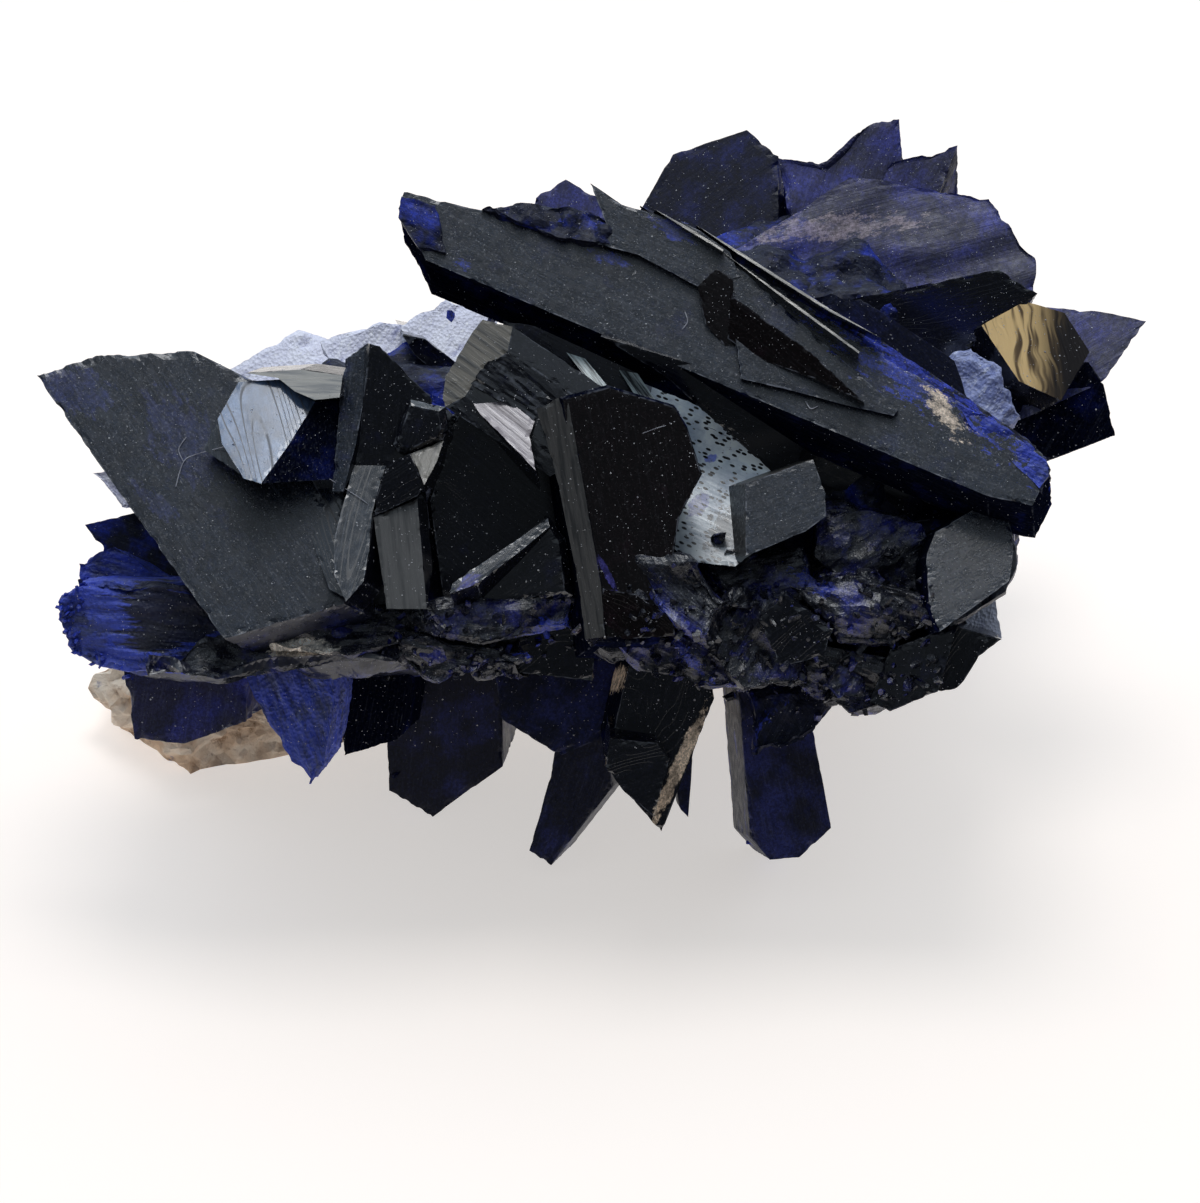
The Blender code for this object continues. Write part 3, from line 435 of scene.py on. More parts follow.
@dataclass(frozen=True)
class AzuriteFinish:
    """A face of azurite: deep blue that looks black, with striae, growth steps, pits, stains and dust. The
    pale coat on its upward faces is settled dust, and painted reflection where its share is high; its pale
    rims are partly chipped wear and partly painted edge highlight.
    """

    name: str
    deep: Colour = (0.0025, 0.003, 0.007)
    stain: Colour = (0.010, 0.014, 0.13)
    stain_share: float = 0.25
    # The pale coat on upward faces: settled dust on most finishes, painted reflection on the bright striated
    # face.
    film_and_sheen: Colour = (0.16, 0.16, 0.17)
    film_and_sheen_share: float = 0.1
    fleck: Colour = (0.6, 0.6, 0.62)
    fleck_share: float = 0.3
    # The pale colour of rims and striae lines: partly wear, partly painted edge highlight.
    edge: Colour = (0.26, 0.28, 0.34)
    edge_wear_and_highlight_share: float = 0.5
    roughness: Point2 = (0.2, 0.34)
    striae: float = 0.5
    steps: float = 0.4
    pits: float = 0.4
    grit: float = 0.3
    streaks: float = 0.0
    lines: float = 0.1
    dust: float = 0.03
    mottle: float = 0.35
    scales: float = 0.0
    blots: tuple[Blot, ...] = ()
    index: float = 1.77
    gleam: float = 0.5

    def colour(self, wiring: Wiring, place: object, low: object) -> object:
        """Wires the colour.

        Args:
            wiring: the material.
            place: the socket of the crystal's own coordinates.
            low: the socket of the blotchy noise.

        Returns:
            The colour's socket.
        """
        tone = wiring.times(wiring.attribute("tone").outputs["Fac"], 0.16)
        blotchy = wiring.plus(wiring.noise(place, 0.55, 3.0, 0.65), wiring.math("SUBTRACT", tone, 0.08))
        stained = wiring.ramp(blotchy, 0.62 - 0.3 * self.stain_share, 0.74)
        colour = wiring.mix(wiring.times(stained, min(1.0, 2.4 * self.stain_share)), self.deep, self.stain)
        if self.blots:
            tear = wiring.noise(wiring.scaled(place, (0.5, 1.0, 1.0)), 2.8, 4.0, 0.8)
            colour = Blot.all_over(wiring, self.blots, tear, colour)
        # Pale coat on upward faces: settled dust, and painted reflection where its share is high.
        upward = wiring.ramp(
            wiring.node("SeparateXYZ", {0: wiring.node("NewGeometry").outputs["True Normal"]}).outputs[2],
            -0.1, 0.8)
        patchy = wiring.ramp(low, 0.25, 0.8, 0.35, 1.0)
        film_and_sheen = wiring.times(wiring.times(upward, patchy), self.film_and_sheen_share)
        colour = wiring.mix(film_and_sheen, colour, self.film_and_sheen)
        fine = wiring.noise(wiring.scaled(place, (0.05, 1.0, 1.0)), 11.0, 2.0, 0.7)
        colour = wiring.mix(wiring.ramp(fine, 0.5, 0.72, 0.0, self.lines), colour, self.edge)
        gap, tint = wiring.cells(place, 4.2)
        small = wiring.ramp(gap, 0.06, 0.15, 1.0, 0.0)
        chosen = wiring.ramp(wiring.node("SeparateColor", {0: tint}).outputs[0], 0.72, 0.9)
        fleck = wiring.times(wiring.times(small, chosen), wiring.times(upward, self.fleck_share))
        sprinkled = wiring.times(
            wiring.ramp(wiring.noise(place, 11.0, 1.0, 0.5), 0.58, 0.74, 0.0, self.dust), upward)
        colour = wiring.mix(wiring.math("MAXIMUM", fleck, sprinkled), colour, self.fleck)
        mottle = wiring.ramp(
            wiring.noise(place, 8.0, 2.0, 0.8), 0.34, 0.68, 1.0 - self.mottle, 1.0 + 1.8 * self.mottle)
        return wiring.scaled(colour, mottle)

    def height(self, wiring: Wiring, place: object) -> tuple[object, object]:
        """Wires the relief.

        Args:
            wiring: the material.
            place: the socket of the crystal's own coordinates.

        Returns:
            The sockets of the normal and of the pits' depth.
        """
        along = wiring.scaled(place, (0.05, 1.0, 1.0))
        striae = wiring.noise(along, 7.0, 3.0, 0.6)
        normal = wiring.bump(striae, 0.016 * self.striae)
        terrace = wiring.noise(wiring.scaled(place, (0.22, 1.0, 1.0)), 0.7, 1.0, 0.4)
        treads = wiring.math("SNAP", terrace, 0.045)
        normal = wiring.bump(treads, 0.5 * self.steps, 1.0, normal)
        gap, tint = wiring.cells(wiring.scaled(place, (0.4, 1.0, 1.0)), 4.6)
        chosen = wiring.ramp(
            wiring.node("SeparateColor", {0: tint}).outputs[1], 0.86 - 0.16 * self.pits, 0.94)
        pit = wiring.times(wiring.ramp(gap, 0.06, 0.18, 1.0, 0.0), chosen)
        normal = wiring.bump(wiring.math("SUBTRACT", 1.0, pit), 0.02 * self.pits, 1.0, normal)
        if self.scales:
            scale, tilt = wiring.cells(wiring.scaled(place, (0.5, 1.0, 1.0)), 2.6)
            tilt = wiring.node("SeparateColor", {0: tilt}).outputs[2]
            normal = wiring.bump(wiring.times(scale, tilt), self.scales, 1.0, normal)
        grit = wiring.noise(place, 16.0, 2.0, 0.7)
        return wiring.bump(grit, 0.012 * self.grit, 1.0, normal), pit

    def make(self) -> bpy.types.Material:
        """Makes the material.

        Returns:
            The material.
        """
        wiring = Wiring(self.name)
        place = wiring.attribute("grain").outputs["Vector"]
        low = wiring.noise(place, 0.9, 2.0, 0.6)
        colour = self.colour(wiring, place, low)
        normal, pit = self.height(wiring, place)
        # Pale rims along the edges: partly chipped wear, partly painted edge highlight.
        rim = wiring.plus(wiring.attribute("rim").outputs["Fac"], wiring.times(low, 0.12))
        broken = wiring.ramp(wiring.noise(place, 1.7, 2.0, 0.7), 0.46, 0.62)
        worn_and_highlit = wiring.times(wiring.times(wiring.ramp(rim, 0.07, 0.12, 1.0, 0.0), broken), self.edge_wear_and_highlight_share)
        colour = wiring.mix(worn_and_highlit, colour, self.edge)
        rough = wiring.ramp(wiring.noise(place, 2.6, 2.0, 0.65), 0.3, 0.72, *self.roughness)
        rough = wiring.plus(rough, wiring.times(wiring.math("MAXIMUM", pit, worn_and_highlit), 0.25))
        if self.streaks:
            bent = wiring.noise(wiring.scaled(place, (0.12, 1.0, 1.0)), 0.8, 0.0)
            apart = wiring.math("PINGPONG", wiring.times(bent, 13.0), 0.5)
            streak = wiring.times(wiring.ramp(apart, 0.02, 0.15, 1.0, 0.0), wiring.ramp(low, 0.3, 0.5))
            streak = wiring.times(streak, self.streaks)
            rough = wiring.plus(rough, wiring.times(streak, 0.45))
            colour = wiring.mix(streak, colour, self.deep)
        wiring.feed(wiring.shader.inputs["Base Color"], colour)
        wiring.feed(wiring.shader.inputs["Roughness"], rough)
        wiring.feed(wiring.shader.inputs["Normal"], normal)
        wiring.shader.inputs["IOR"].default_value = self.index
        wiring.shader.inputs["Specular IOR Level"].default_value = self.gleam
        return wiring.material


@dataclass(frozen=True)
class EtchedFinish:
    """Rough azurite, etched or torn, whose blue shows: cobalt with darker hollows and pale bruises."""

    name: str
    blue: Colour = (0.012, 0.042, 0.52)
    dark: Colour = (0.004, 0.008, 0.06)
    pale: Colour = (0.16, 0.22, 0.60)
    pale_share: float = 0.25
    dark_share: float = 0.5
    roughness: Point2 = (0.5, 0.75)
    depth: float = 0.09
    blots: tuple[Blot, ...] = ()

    def make(self) -> bpy.types.Material:
        """Makes the material.

        Returns:
            The material.
        """
        wiring = Wiring(self.name)
        place = wiring.attribute("grain").outputs["Vector"]
        fibre = wiring.noise(wiring.scaled(place, (0.16, 1.0, 1.0)), 3.4, 5.0, 0.7)
        patch = wiring.noise(place, 0.8, 4.0, 0.6)
        tone = wiring.times(wiring.attribute("tone").outputs["Fac"], 0.2)
        shade = wiring.plus(wiring.plus(fibre, patch), wiring.math("SUBTRACT", tone, 0.1))
        shade = wiring.ramp(
            shade, 0.7 + 0.5 * (self.dark_share - 0.5), 1.15 + 0.5 * (self.dark_share - 0.5), 1.0, 0.0)
        colour = wiring.mix(shade, self.blue, self.dark)
        bruise = wiring.ramp(wiring.noise(wiring.scaled(place, (0.3, 1.0, 1.0)), 4.5, 5.0, 0.8), 0.52, 0.66)
        bruise = wiring.times(bruise, self.pale_share)
        # Pale rims along the edges: partly wear, partly painted edge highlight.
        worn_and_highlit = wiring.ramp(wiring.attribute("rim").outputs["Fac"], 0.0, 0.15, 0.5, 0.0)
        colour = wiring.mix(
            wiring.math("MAXIMUM", bruise, wiring.times(worn_and_highlit, self.pale_share)), colour, self.pale)
        if self.blots:
            tear = wiring.math("MULTIPLY_ADD", fibre, 0.8, 0.1)
            colour = Blot.all_over(wiring, self.blots, tear, colour)
        crumb, _ = wiring.cells(place, 7.0)
        normal = wiring.bump(fibre, self.depth)
        normal = wiring.bump(crumb, 0.5 * self.depth, 1.0, normal)
        rough = wiring.ramp(wiring.noise(place, 4.0, 3.0), 0.3, 0.7, *self.roughness)
        wiring.feed(wiring.shader.inputs["Base Color"], colour)
        wiring.feed(wiring.shader.inputs["Roughness"], rough)
        wiring.feed(wiring.shader.inputs["Normal"], normal)
        wiring.shader.inputs["IOR"].default_value = 1.5
        return wiring.material


@dataclass(frozen=True)
class BandedFinish:
    """The rear prism's face, painted straw-gold for an internal reflection that darkens to black towards the
    right, with dark bands that run up it.
    """

    name: str = "straw-gold banded face"
    # Painted reflection: the straw-gold stands in for an internal reflection in the prism.
    gold: Colour = (0.86, 0.60, 0.28)
    brown: Colour = (0.13, 0.085, 0.045)
    dark: Colour = (0.012, 0.010, 0.011)
    band_width: float = 0.36
    fade: Point2 = (17.1, 19.2)

    def make(self) -> bpy.types.Material:
        """Makes the material.

        Returns:
            The material.
        """
        wiring = Wiring(self.name)
        place = wiring.attribute("grain").outputs["Vector"]
        sway = wiring.node("CombineXYZ", {1: wiring.noise(place, 0.7, 1.0)}).outputs[0]
        bent = wiring.node("VectorMath", {0: place, 1: sway}, operation="ADD").outputs[0]
        bands = wiring.noise(wiring.scaled(bent, (0.1, 1.0, 1.0)), 1.0 / self.band_width, 2.0, 0.55)
        fine = wiring.noise(wiring.scaled(bent, (0.1, 1.0, 1.0)), 9.0, 3.0, 0.6)
        across = wiring.node("SeparateXYZ", {0: wiring.attribute("view").outputs["Vector"]}).outputs[0]
        faded = wiring.ramp(across, *self.fade)
        share = wiring.plus(bands, wiring.times(fine, 0.12))
        share = wiring.plus(share, wiring.times(faded, 0.12))
        colour = wiring.mix(wiring.ramp(share, 0.55, 0.70), self.gold, self.brown)
        colour = wiring.mix(wiring.ramp(share, 0.70, 0.80), colour, self.dark)
        wiring.feed(wiring.shader.inputs["Base Color"], wiring.mix(faded, colour, self.dark))
        wiring.feed(wiring.shader.inputs["Roughness"], wiring.ramp(bands, 0.3, 0.7, 0.32, 0.5))
        wiring.feed(wiring.shader.inputs["Normal"], wiring.bump(bands, 0.08, 1.0, wiring.bump(fine, 0.02)))
        wiring.shader.inputs["Specular IOR Level"].default_value = 0.15
        return wiring.material


@dataclass(frozen=True)
class SpeckledFinish:
    """A face under a thin pale blue-grey coat, with many tiny black dashes etched through it. The coat's
    paleness is partly painted reflection, and the face has painted glow and painted light that brightens it
    towards its top, where the blade above shades it.
    """

    name: str = "speckled face"
    # The pale coat colour is partly real, partly painted reflection.
    film_and_sheen: Colour = (0.80, 0.92, 1.0)
    thin: Colour = (0.36, 0.46, 0.60)
    dash: Colour = (0.003, 0.004, 0.008)
    # Painted light: darker towards the bottom, full towards the top, making up for the blade's shade.
    foot: Point2 = (1.5, 6.0)
    # Painted glow: the face gives off light of its own.
    painted_glow: float = 0.1
    stains: tuple[Blot, ...] = (
        Blot((4.45, 5.75, 0.0), (0.3, 0.2, 3.0), 20.0, (0.10, 0.16, 0.75), 0.8, 0.5),
        Blot((3.95, 3.9, 0.0), (0.7, 0.35, 3.0), 60.0, (0.09, 0.11, 0.50), 0.75, 0.6),
        Blot((5.1, 2.9, 0.0), (1.0, 0.7, 3.0), 50.0, (0.03, 0.035, 0.05), 0.85, 1.7),
    )

    def make(self) -> bpy.types.Material:
        """Makes the material.

        Returns:
            The material.
        """
        wiring = Wiring(self.name)
        place = wiring.attribute("grain").outputs["Vector"]
        patch = wiring.ramp(wiring.noise(place, 0.7, 4.0, 0.6), 0.34, 0.66)
        colour = wiring.mix(patch, self.film_and_sheen, self.thin)
        colour = Blot.all_over(wiring, self.stains, wiring.noise(place, 3.0, 5.0, 0.8), colour)
        height = wiring.node("SeparateXYZ", {0: wiring.attribute("view").outputs["Vector"]}).outputs[1]
        # Painted light: the colour darkens towards the bottom of the face.
        colour = wiring.scaled(colour, wiring.ramp(height, *self.foot, 0.35, 1.0))
        gap, tint = wiring.cells(wiring.scaled(place, (0.45, 1.0, 1.0)), 5.2, True)
        chosen = wiring.ramp(wiring.node("SeparateColor", {0: tint}).outputs[1], 0.2, 0.5, 0.0, 0.26)
        dash = wiring.math("LESS_THAN", gap, chosen)
        colour = wiring.mix(dash, colour, self.dash)
        fine = wiring.noise(wiring.scaled(place, (0.1, 1.0, 1.0)), 8.0, 4.0, 0.6)
        normal = wiring.bump(wiring.math("SUBTRACT", 1.0, dash), 0.02, 1.0, wiring.bump(fine, 0.012))
        wiring.feed(wiring.shader.inputs["Base Color"], colour)
        # Painted glow: the face glows in its own colour.
        wiring.feed(wiring.shader.inputs["Emission Color"], colour)
        wiring.shader.inputs["Emission Strength"].default_value = self.painted_glow
        wiring.feed(wiring.shader.inputs["Roughness"], wiring.ramp(fine, 0.3, 0.7, 0.24, 0.42))
        wiring.feed(wiring.shader.inputs["Normal"], normal)
        wiring.shader.inputs["IOR"].default_value = 1.77
        return wiring.material


@dataclass(frozen=True)
class TanFinish:
    """A finely striated face that looks grey-buff, with darker streaks along the striae. Its rosy and pale
    striped copies paint reflections in their colours.
    """

    name: str = "grey-buff striated face"
    buff: Colour = (0.21, 0.19, 0.16)
    dark: Colour = (0.05, 0.05, 0.05)

    def make(self) -> bpy.types.Material:
        """Makes the material.

        Returns:
            The material.
        """
        wiring = Wiring(self.name)
        place = wiring.attribute("grain").outputs["Vector"]
        streaks = wiring.noise(wiring.scaled(place, (0.07, 1.0, 1.0)), 5.0, 4.0, 0.65)
        colour = wiring.mix(wiring.ramp(streaks, 0.42, 0.66), self.buff, self.dark)
        wiring.feed(wiring.shader.inputs["Base Color"], colour)
        wiring.feed(wiring.shader.inputs["Roughness"], wiring.ramp(streaks, 0.3, 0.7, 0.24, 0.42))
        wiring.feed(wiring.shader.inputs["Normal"], wiring.bump(streaks, 0.035))
        wiring.shader.inputs["IOR"].default_value = 1.77
        return wiring.material


@dataclass(frozen=True)
class ClayFinish:
    """Earthy buff clay with rust-brown, cream and blue-stained spots."""

    name: str = "buff clay"
    buff: Colour = (0.82, 0.62, 0.45)
    cream: Colour = (0.97, 0.85, 0.71)
    rust: Colour = (0.26, 0.12, 0.05)
    stain: Colour = (0.06, 0.09, 0.32)

    def make(self) -> bpy.types.Material:
        """Makes the material.

        Returns:
            The material.
        """
        wiring = Wiring(self.name)
        place = wiring.attribute("grain").outputs["Vector"]
        colour = wiring.mix(
            wiring.ramp(wiring.noise(place, 0.45, 5.0, 0.6), 0.4, 0.62), self.buff, self.cream)
        colour = wiring.mix(
            wiring.ramp(wiring.noise(place, 1.1, 5.0, 0.7), 0.56, 0.72, 0.0, 0.8), colour, self.rust)
        gap, tint = wiring.cells(place, 1.6)
        chosen = wiring.ramp(wiring.node("SeparateColor", {0: tint}).outputs[0], 0.8, 1.0)
        torn = wiring.plus(gap, wiring.noise(place, 2.2, 4.0, 0.7))
        spot = wiring.times(wiring.ramp(torn, 0.55, 0.8, 1.0, 0.0), chosen)
        colour = wiring.mix(wiring.times(spot, 0.75), colour, self.stain)
        lumps = wiring.noise(place, 2.4, 6.0, 0.7)
        grains = wiring.noise(place, 13.0, 3.0, 0.7)
        normal = wiring.bump(grains, 0.05, 1.0, wiring.bump(lumps, 0.22))
        wiring.feed(wiring.shader.inputs["Base Color"], colour)
        wiring.feed(wiring.shader.inputs["Roughness"], wiring.ramp(grains, 0.3, 0.7, 0.78, 0.98))
        wiring.feed(wiring.shader.inputs["Normal"], normal)
        wiring.shader.inputs["Specular IOR Level"].default_value = 0.3
        return wiring.material


@dataclass(frozen=True)
class DirtFinish:
    """Dust grains or textile fibres: pale, dull, a little uneven."""

    name: str
    light: Colour = (0.70, 0.70, 0.72)
    dark: Colour = (0.34, 0.34, 0.38)

    def make(self) -> bpy.types.Material:
        """Makes the material.

        Returns:
            The material.
        """
        wiring = Wiring(self.name)
        place = wiring.attribute("grain").outputs["Vector"]
        uneven = wiring.noise(place, 3.0, 3.0, 0.7)
        wiring.feed(
            wiring.shader.inputs["Base Color"],
            wiring.mix(wiring.ramp(uneven, 0.35, 0.65), self.light, self.dark))
        wiring.feed(wiring.shader.inputs["Roughness"], wiring.ramp(uneven, 0.2, 0.8, 0.75, 0.95))
        wiring.feed(wiring.shader.inputs["Normal"], wiring.bump(uneven, 0.01))
        return wiring.material


class Palette:
    """Every azurite finish, made once, in the order of LOOKS."""

    FINISHES = {
        Look.SLATE: AzuriteFinish(
            "dusty slate face", blots=TABLET_BLOTS + LEDGE_BLOTS + BLADE_BLOTS + CREST_BLOTS,
            stain_share=0.08, film_and_sheen=(0.08, 0.12, 0.20), film_and_sheen_share=0.14, roughness=(0.22, 0.32), striae=0.3,
            steps=0.15, pits=0.5, grit=0.8, dust=0.13, gleam=0.43),
        Look.GLOSS: AzuriteFinish(
            "lustrous black face", blots=CHEVRON_BLOTS, film_and_sheen_share=0.01, stain_share=0.04,
            roughness=(0.07, 0.16), striae=0.3, steps=0.15, pits=0.3, grit=0.2, fleck_share=0.2,
            edge_wear_and_highlight_share=0.35, lines=0.03),
        # Painted reflection: this face's strong pale blue coat stands in for the bright light that it
        # mirrors.
        Look.BRIGHT: AzuriteFinish(
            "bright striated face", blots=FACET_BLOTS, film_and_sheen=(0.22, 0.34, 0.58), film_and_sheen_share=0.72,
            stain_share=0.0, roughness=(0.1, 0.15), striae=0.02, steps=0.0, pits=0.5, grit=0.0,
            edge_wear_and_highlight_share=0.15, streaks=0.8, lines=0.02, dust=0.0, mottle=0.1),
        Look.ETCHED: EtchedFinish(
            "torn cobalt azurite", blots=PAINTED_SHADOW_BLOTS + CREST_BLOTS, pale=(0.20, 0.25, 0.56), dark_share=0.52,
            pale_share=0.55),
        Look.NAVY: AzuriteFinish(
            "navy azurite", deep=(0.0025, 0.004, 0.018), stain=(0.010, 0.018, 0.15), stain_share=0.45,
            film_and_sheen_share=0.02, roughness=(0.26, 0.42), striae=0.6, steps=0.25, pits=0.15, grit=0.5,
            edge_wear_and_highlight_share=0.25),
        Look.PALE: EtchedFinish(
            "bruised lilac azurite", blue=(0.80, 0.80, 0.95), dark=(0.05, 0.07, 0.30), pale=(0.98, 0.98, 1.0),
            pale_share=0.7, dark_share=0.28, roughness=(0.36, 0.6)),
        Look.BANDED: BandedFinish(),
        Look.DRUSE: AzuriteFinish(
            "hackly druse", blots=PAINTED_SHADOW_BLOTS + LEDGE_BLOTS + RIM_BLOTS + CHUNK_BLOTS + CHEVRON_BLOTS,
            deep=(0.003, 0.004, 0.012), stain=(0.014, 0.020, 0.20), stain_share=0.42, film_and_sheen_share=0.05,
            roughness=(0.16, 0.34), striae=1.0, steps=1.2, pits=0.9, grit=1.6, edge_wear_and_highlight_share=0.4, lines=0.14,
            fleck_share=0.8, dust=0.12, scales=0.2, index=1.6),
        Look.SPECKLED: SpeckledFinish(),
        Look.TAN: TanFinish(),
        Look.DUN: TanFinish("grey-brown striated face", (0.082, 0.079, 0.077), (0.022, 0.022, 0.023)),
        Look.DUSK: AzuriteFinish(
            "dull side face", blots=CHEVRON_BLOTS + CREST_BLOTS, deep=(0.002, 0.003, 0.010),
            stain=(0.006, 0.010, 0.07), stain_share=0.3, film_and_sheen_share=0.0, fleck_share=0.15, edge_wear_and_highlight_share=0.2,
            roughness=(0.36, 0.52), striae=0.6, steps=0.3, pits=0.3, grit=0.5, lines=0.04, index=1.4,
            gleam=0.0),
        Look.SHADE: AzuriteFinish(
            "indigo face", deep=(0.003, 0.0045, 0.018), stain=(0.013, 0.018, 0.10), stain_share=0.6,
            film_and_sheen_share=0.0, fleck_share=0.1, edge_wear_and_highlight_share=0.15, roughness=(0.36, 0.5), striae=0.5, steps=0.2,
            pits=0.1, grit=0.4, lines=0.03, index=1.34),
        Look.SAIL: AzuriteFinish(
            "weathered indigo sheet", blots=SAIL_BLOTS, deep=(0.008, 0.010, 0.035),
            stain=(0.022, 0.030, 0.22), stain_share=0.75, film_and_sheen=(0.16, 0.15, 0.36), film_and_sheen_share=0.15,
            fleck_share=0.1, edge_wear_and_highlight_share=0.15, roughness=(0.4, 0.6), striae=1.2, steps=0.6, pits=0.2,
            grit=0.6, lines=0.08, index=1.5),
        Look.CRUST: AzuriteFinish(
            "dark blue crust", blots=BLADE_BLOTS + CREST_BLOTS + CHUNK_BLOTS, deep=(0.003, 0.005, 0.022),
            stain=(0.012, 0.030, 0.32), stain_share=0.4, film_and_sheen_share=0.02, fleck_share=0.2, edge_wear_and_highlight_share=0.2,
            roughness=(0.42, 0.6), striae=0.9, steps=0.6, pits=0.7, grit=1.4, lines=0.08, index=1.45,
            gleam=0.3),
        Look.FAN: AzuriteFinish(
            "striated fan face", blots=BAR_BLOTS, stain_share=0.05, film_and_sheen=(0.10, 0.14, 0.20), film_and_sheen_share=0.2,
            roughness=(0.14, 0.22), striae=0.4, steps=0.05, pits=0.3, grit=0.1, edge_wear_and_highlight_share=0.3,
            streaks=0.75, lines=0.16, mottle=0.1),
        # Painted reflection: the pale rosy colour stands in for the bright light this face mirrors.
        Look.ROSE_SHEEN: TanFinish("rosy striated face", (0.42, 0.37, 0.40), (0.14, 0.11, 0.13)),
        Look.JET: AzuriteFinish(
            "maroon-black face", blots=PRISM_BLOTS, deep=(0.0045, 0.0025, 0.003),
            stain=(0.014, 0.006, 0.010), stain_share=0.3, film_and_sheen_share=0.0, fleck_share=0.3, edge_wear_and_highlight_share=0.45,
            roughness=(0.1, 0.2), striae=0.2, steps=0.1, pits=0.2, grit=0.2, lines=0.02, gleam=0.22),
        # Painted glint: pale stripes that stand in for light caught by narrow faces.
        Look.GLINT_STRIPED: TanFinish("pale striped face", (0.85, 0.98, 1.0), (0.015, 0.022, 0.03)),
        Look.FROST: EtchedFinish(
            "frosted lilac azurite", blue=(0.16, 0.20, 0.46), dark=(0.02, 0.03, 0.14),
            pale=(0.60, 0.64, 0.80), pale_share=0.85, dark_share=0.3, roughness=(0.4, 0.6)),
    }

    def __init__(self) -> None:
        """Makes the materials."""
        self.materials = [self.FINISHES[look].make() for look in LOOKS]

    def dress(self, mesh: bpy.types.Mesh) -> None:
        """Gives a mesh one slot for each finish, in order."""
        for material in self.materials:
            mesh.materials.append(material)


# ---------------------------------------------------------------- crystals


def middle(points: list[Vector]) -> Vector:
    """The mean of some vectors."""
    return sum(points, Vector((0.0,) * len(points[0]))) / len(points)


def scaled(points: list[Vector], size: float) -> list[Vector]:
    """Points scaled about their mean."""
    centre = middle(points)
    return [centre + (point - centre) * size for point in points]


def hashed(cells: np.ndarray, salt: int) -> np.ndarray:
    """Random numbers that depend on whole-number cells alone.

    Args:
        cells: whole numbers, three along the last axis.
        salt: a number that sets this use apart.

    Returns:
        One number from 0 to 1 for each cell.
    """
    mixed = cells.astype(np.uint64) * np.array([73856093, 19349663, 83492791], dtype=np.uint64)
    number = mixed[..., 0] ^ mixed[..., 1] ^ mixed[..., 2] ^ np.uint64(salt * 2654435761 % 2 ** 32)
    number = (number ^ (number >> np.uint64(15))) * np.uint64(2246822519) & np.uint64(0xFFFFFFFF)
    number = (number ^ (number >> np.uint64(13))) * np.uint64(3266489917) & np.uint64(0xFFFFFFFF)
    return ((number ^ (number >> np.uint64(16))) & np.uint64(0xFFFFFF)).astype(float) / 0xFFFFFF


@dataclass(frozen=True)
class Fracture:
    """How a rough surface breaks up into tilted chips.

    cell: width of the chips.
    depth: how far they stand in or out.
    stretch: how much longer they are along the striae.
    slope: how steeply they tilt.
    finer: how strong the same relief is again at a quarter of the size.
    """

    BLEND: ClassVar[float] = 0.1

    cell: float = 2.0
    depth: float = 0.32
    stretch: float = 1.0
    slope: float = 0.34
    finer: float = 0.6

    def relief(
        self, points: np.ndarray, strike: float, salt: int) -> tuple[np.ndarray, np.ndarray, np.ndarray]:
        """The relief at some points.

        Args:
            points: the points.
            strike: the striae's direction in radians.
            salt: a number that sets this surface apart.

        Returns:
            How far each point moves out, how far it is from its chip's border, and its chip's random number.
        """
        turn = np.array(
            [[math.cos(strike), -math.sin(strike), 0.0], [math.sin(strike), math.cos(strike), 0.0],
             [0.0, 0.0, 1.0]])
        own = (points @ turn) / np.array([self.stretch, 1.0, 1.0]) / self.cell + salt * 17.3 + 200.0
        base = np.floor(own)
        nearest = np.full(len(points), 9.0)
        second = np.full(len(points), 9.0)
        tone, total, weight = np.zeros(len(points)), np.zeros(len(points)), np.zeros(len(points))
        for step in np.ndindex(3, 3, 3):
            cell = base + np.array(step) - 1.0
            seat = cell + np.stack([hashed(cell, salt + k) for k in (1, 2, 3)], axis=1)
            away = own - seat
            gap = np.linalg.norm(away, axis=1)
            closer = gap < nearest
            second = np.where(closer, nearest, np.minimum(second, gap))
            nearest = np.where(closer, gap, nearest)
            leaning = np.stack([hashed(cell, salt + k) - 0.5 for k in (4, 5, 6)], axis=1)
            number = hashed(cell, salt + 7)
            tone = np.where(closer, number, tone)
            plane = (away * leaning).sum(1) * 2.0 * self.slope * self.cell + (number - 0.5) * self.depth
            pull = np.exp(-gap / self.BLEND)
            total += pull * np.clip(plane, -self.depth, self.depth)
            weight += pull
        rise = total / weight
        border = (second - nearest) * self.cell * 0.5
        if self.finer:
            small = Fracture(self.cell / 4.0, self.depth / 4.0, self.stretch, self.slope, 0.0)
            fine_rise, fine_border, fine_tone = small.relief(points, strike, salt + 11)
            rise = rise + fine_rise * self.finer
            border = np.minimum(border, fine_border + 0.06)
            tone = 0.75 * tone + 0.25 * fine_tone
        return rise, border, tone


HACKLY = Fracture(2.2, 0.45, 1.5, 0.42, 0.7)
CRUSTY = Fracture(0.8, 0.2, 1.0, 0.4, 0.4)
SHEETED = Fracture(2.6, 0.22, 3.0, 0.15, 0.3)
FIBROUS = Fracture(0.24, 0.13, 9.0, 0.1, 0.0)
SPLINTERY = Fracture(0.16, 0.09, 7.0, 0.1, 0.0)


